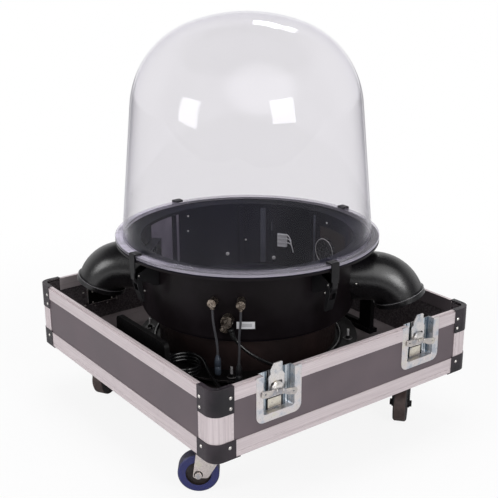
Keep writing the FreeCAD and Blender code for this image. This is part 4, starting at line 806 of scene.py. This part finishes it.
def latch_rivets():
    """Heads on the dishes' flanges, and their tails inside the panels and on the tubs."""
    outer, inner = [], []
    for sx, sy in CORNERS:
        x0 = sx * LATCH_AT
        for u, z in FLANGE_RIVETS:
            outer.append(((x0 + u, sy * FLANGE_Y, z), (0, sy, 0), 2.7, 0.6))
            inner.append(((x0 + u, sy * WALL_IN, z), (0, -sy, 0), 3.0, 1.2))
        for u, z in TUB_RIVETS:
            inner.append(((x0 + u, sy * TUB_BACK, z), (0, -sy, 0), 2.8, 1.4))
    fitted("latch_rivets", outer, ZINC)
    fitted("latch_rivet_tails", inner, STEEL)


def latch_keepers():
    """Cream guide plate low in each pocket, on a larger dark plate that is painted shadow round its edges."""
    plates, shadow_sheets = bmesh.new(), bmesh.new()
    for sx, sy in CORNERS:
        x0 = sx * LATCH_AT
        # The dark plate behind the keeper paints the shadow round it.
        rounded_plate(shadow_sheets, ((x0 - 25, 241.5), (x0 + 18, 268.0)), 0.8, 3.0, sy * KEEPER_SHADOW_Y, sy)
        rounded_plate(plates, ((x0 - 21, 243.0), (x0 + 17, 267.0)), 1.6, 2.5, sy * KEEPER_Y, sy)
    settle(mesh_object("latch_keeper_shadows", shadow_sheets, smooth=False), BLACK_METAL, "root",
           "black_metal")
    settle(mesh_object("latch_keepers", plates, smooth=False), HOOK_ZINC, "root", "zinc")


def terminal_strip():
    """Ribbed strip with three clamp screws, in place of the plain block."""
    low, pitch, back = 386.0, 11.6, 276.0
    bm = bmesh.new()
    arc_panel(bm, back, 28.6, 34.6, 385.5, 423.5, 4.8, 6)
    for k in range(4):
        arc_panel(bm, 270.5, 28.9, 34.3, low + pitch * k, low + 2.2 + pitch * k, 6.0, 4)
    for k in range(3):
        domed(bm, polar(back, 31.6, low + 7.0 + pitch * k) * MM, -polar(1, 31.6, 0), 2.6 * MM,
              2.0 * MM)
    settle(mesh_object("terminal_strip", bm, smooth=False), PALE, "root", "pale_plastic",
           "terminal_block")


def drum_screws():
    """Heads on both faces of the drum, on the draw latches' brackets and on the elbows."""
    out, back = [], []
    for angle, z, r in ((-82, 433, 3.2), (-84, 420, 3.2), (164.2, 385, 3.0)):
        out.append((polar(DRUM_R, angle, z), polar(1, angle, 0), r, 1.8))
    for angle, z, r in ((90.8, 490, 2.6), (91.1, 445, 2.6), (-0.2, 485, 2.6), (-0.5, 438, 2.6),
                        (54.3, 399, 2.6), (65.5, 357, 5.4), (37.1, 346, 5.8)):
        back.append((polar(DRUM_IN, angle, z), -polar(1, angle, 0), r, 2.4))
    for angle in (0, 90, 180, 270):
        side = polar(1, angle + 90, 0)
        for turn in (-1, 1):
            out.append((polar(BRACKET_R, angle, BRACKET_Z) + side * BRACKET_HALF * turn,
                        side * turn, 2.4, 1.2))
    fitted("drum_screws", out, STEEL)
    # The heads inside the drum are drawn light, as painted highlights.
    fitted("drum_inner_screws", back, STUD)
    x, y, z = 161.8, -253.6, 404.1
    fitted("elbow_screws", [((x, y, z), (-0.71, -0.71, 0), 3.0, 1.6),
                            ((y, x, z), (-0.71, -0.71, 0), 3.0, 1.6)], STEEL)


def wall_plate(name, material, slot, radius, sweep, heights, thick):
    """One thin plate on the drum's wall, a piece of its own."""
    bm = bmesh.new()
    arc_panel(bm, radius, *sweep, *heights, thick)
    settle(mesh_object(name, bm, smooth=False), material, "root", slot)


def drum_plates():
    """Bare label plate outside; panels and straps inside."""
    for plate in (("rating_plate", WHITE, "pale_plastic", DRUM_R, (-132.0, -123.0),
                   (356.5, 375.0), 0.5),
                  ("rating_plate_field", PALE, "pale_plastic", 285.4, (-130.6, -124.4),
                   (361.5, 370.5), 0.3),
                  ("inner_panel_left", INNER_GREY, "drum", PANEL_R, (98.0, 124.0),
                   (350.0, 502.0), 1.2),
                  ("inner_panel_right", PLINTH, "drum", PANEL_R, (-20.0, 5.0),
                   (402.0, 470.0), 1.2)):
        wall_plate(*plate)
    bm = bmesh.new()
    for sweep in ((42.2, 45.4), (9.0, 12.6)):
        arc_panel(bm, STRAP_R, *sweep, 330.0, 498.0, 1.0, 3)
    settle(mesh_object("inner_straps", bm, smooth=False), INNER_BLUE, "root", "drum")


def drum_wires():
    """Sensor tube, and the terminal strip's three wires as (angle, height) runs."""
    tube = nurbs("sensor_tube", [polar(278.5, 38.3, z) * MM for z in (431, 440, 449, 458)], 2 * MM)
    settle(tube, INNER_BLUE, "root", "pale_plastic")
    for k, run in enumerate((((28.9, 424), (27.6, 423), (26.4, 416), (25.6, 406)),
                             ((28.9, 411), (27.2, 412), (25.9, 407), (25.4, 398)),
                             ((28.9, 399), (26.6, 400), (24.8, 394), (24.2, 372)))):
        points = [polar(276.5 - 3 * math.sin(math.pi * i / 3), angle, z) * MM
                  for i, (angle, z) in enumerate(run)]
        settle(nurbs("terminal_wire_%d" % k, points, 2.6 * MM), WHITE, "root", "pale_plastic")


def cap_ring():
    """Bead round the blanking cap inside the drum, bright as a painted highlight."""
    bm = bmesh.new()
    ring(bm, Vector((268.6, -4.75, 403.5)), (1, 0, 0), 36.6, 0.8)
    settle(mesh_object("cap_ring", bm), STUD, "root", "nickel")


def axle_rings():
    """Dark ring round each axle's head, on both legs of each fork."""
    for name in ("fl", "fr", "bl", "br"):
        joint = joints["wheel_spin_" + name]
        centre, axle = Vector(joint["pos_m"]) / MM, Vector(joint["axis"])
        bm = bmesh.new()
        for turn in (-1, 1):
            ring(bm, centre + axle * turn * 23.5, axle, 9.8, 1.0, 32)
        settle(mesh_object("axle_rings_" + name, bm), RUBBER, "castor_fork_" + name, "black_rubber")


def cord_relief():
    """Ribbed, tapering boot where the power cord leaves its gland."""
    start, end = gland_mouth(24.0), gland_mouth(52.0)
    profile = [(0.0, -2.0), (7.6, -2.0), (7.6, 3.0)]
    for k in range(5):
        r, at = 7.2 - 0.45 * k, 4.2 * k
        profile += [(r, 3.4 + at), (r, 5.8 + at), (r - 0.9, 6.2 + at), (r - 0.9, 7.2 + at)]
    profile += [(4.9, 25.0), (4.6, 26.0), (0.0, 26.0)]
    bm = lathe(bmesh.new(), [(r * MM, d * MM) for r, d in profile], start * MM, end - start, 20)
    settle(mesh_object("cord_relief", bm), RUBBER, "root", "black_rubber")


def collar_beads():
    """Turned lip round the top of each elbow's collar, light grey as a painted highlight."""
    bend_r, bend_z = DRUM_R + ELBOW_STUB, RIM_Z - ELBOW_DROP
    bm = bmesh.new()
    for angle in ELBOW_ANGLES:
        out = polar(1, angle, 0)
        centre = polar(bend_r + ELBOW_BEND * math.sin(ELBOW_SWEEP), angle,
                       bend_z - ELBOW_BEND * (1 - math.cos(ELBOW_SWEEP)))
        down = out * math.cos(ELBOW_SWEEP) + Vector((0, 0, -math.sin(ELBOW_SWEEP)))
        ring(bm, centre - down * 1.2, down, 69.0, 0.7, 64)
    settle(mesh_object("collar_beads", bm), BEAD_HIGHLIGHT, "root", "elbow")


latch_rivets()
latch_keepers()
terminal_strip()
drum_screws()
drum_plates()
drum_wires()
cap_ring()
axle_rings()
cord_relief()
collar_beads()


# ---------------------------------------------------------------- stage
FLOOR_HALF = 14.0
FLOOR_GLOW = 0.88     # share of the floor near the case that shows plain white to the camera
BACKDROP = (0.6, 0.8, 0.0)
CEILING_PATCH = (-0.25, -0.72, 0.65)
LEFT_LAMP = ((-3.1, 0.1, 1.4), (-0.26, -0.13, 0.88), 1.1, 1.3)


def make_stage():
    bm = bmesh.new()
    bm.faces.new([bm.verts.new((x * FLOOR_HALF, y * FLOOR_HALF, 0.0))
                  for x, y in ((-1, -1), (1, -1), (1, 1), (-1, 1))])
    floor = mesh_object("floor", bm, smooth=False)
    n = Nodes("floor")
    diffuse = n.add("ShaderNodeBsdfDiffuse", Color=(0.86, 0.86, 0.87, 1)).outputs[0]
    glow = n.add("ShaderNodeEmission", Color=(1, 1, 1, 1), Strength=1.0).outputs[0]
    glowing = n.ramp(n.vector("LENGTH", n.place), 0.7, 1.9, FLOOR_GLOW, 1.0)
    seen = n.times(n.add("ShaderNodeLightPath").outputs["Is Camera Ray"], glowing)
    floor.data.materials.append(n.show(n.blend(seen, diffuse, glow)))


def lamp(name, place, aim, width, height, power, mirrored=True):
    data = bpy.data.lights.new(name, "AREA")
    data.shape = "RECTANGLE"
    data.size, data.size_y, data.energy = width, height, power
    light = new_object(name, data)
    light.visible_glossy = mirrored
    turn = (Vector(aim) - Vector(place)).to_track_quat("-Z", "Y").to_matrix().to_4x4()
    light.matrix_world = Matrix.Translation(place) @ turn


def make_world():
    """White to the camera, dimmer as a light, and a studio to mirror rays."""
    world = bpy.data.worlds.new("studio")
    bpy.context.scene.world = world
    world.use_nodes = True
    t = Tree(world.node_tree)
    ray = t.add("ShaderNodeLightPath").outputs
    toward = t.add("ShaderNodeTexCoord").outputs["Generated"]
    # Mirror rays see the white backdrop behind and a dim room in front of it.
    room = t.ramp(t.vector("DOT_PRODUCT", toward, BACKDROP), -0.3, 0.45, 0.14, 1.0)
    height = t.add("ShaderNodeSeparateXYZ", Vector=toward).outputs["Z"]
    low = t.times(room, t.ramp(height, 0.5, 0.8, 1.0, 0.16))
    # A soft bright patch of ceiling, high on the left of the front.
    patch = t.ramp(t.vector("DOT_PRODUCT", toward, CEILING_PATCH), 0.78, 0.96, 0.0, 2.2)
    level = t.choose(ray["Is Glossy Ray"], 0.42, t.plus(low, patch))
    level = t.choose(ray["Is Transmission Ray"], level, 1.0)
    level = t.choose(ray["Is Camera Ray"], level, 1.0)
    background = t.tree.nodes["Background"]
    t.feed(background.inputs["Strength"], level)
    t.feed(background.inputs["Color"], (1, 1, 1, 1))


def make_lamps():
    lamp("left_box", *LEFT_LAMP, 30)
    lamp("left_fill", *LEFT_LAMP, 9, mirrored=False)
    lamp("right_box", (-0.15, -3.05, 1.55), (-0.1, -0.27, 0.89), 1.25, 1.4, 36)
    lamp("back_box", (1.75, 1.45, 2.75), (0.0, -0.1, 1.0), 0.85, 0.24, 6)
    lamp("overhead", (0.0, 0.0, 3.9), (0, 0, 0.4), 1.6, 1.6, 46, mirrored=False)


make_stage()
make_world()
make_lamps()
bpy.context.scene.view_settings.view_transform = "Standard"
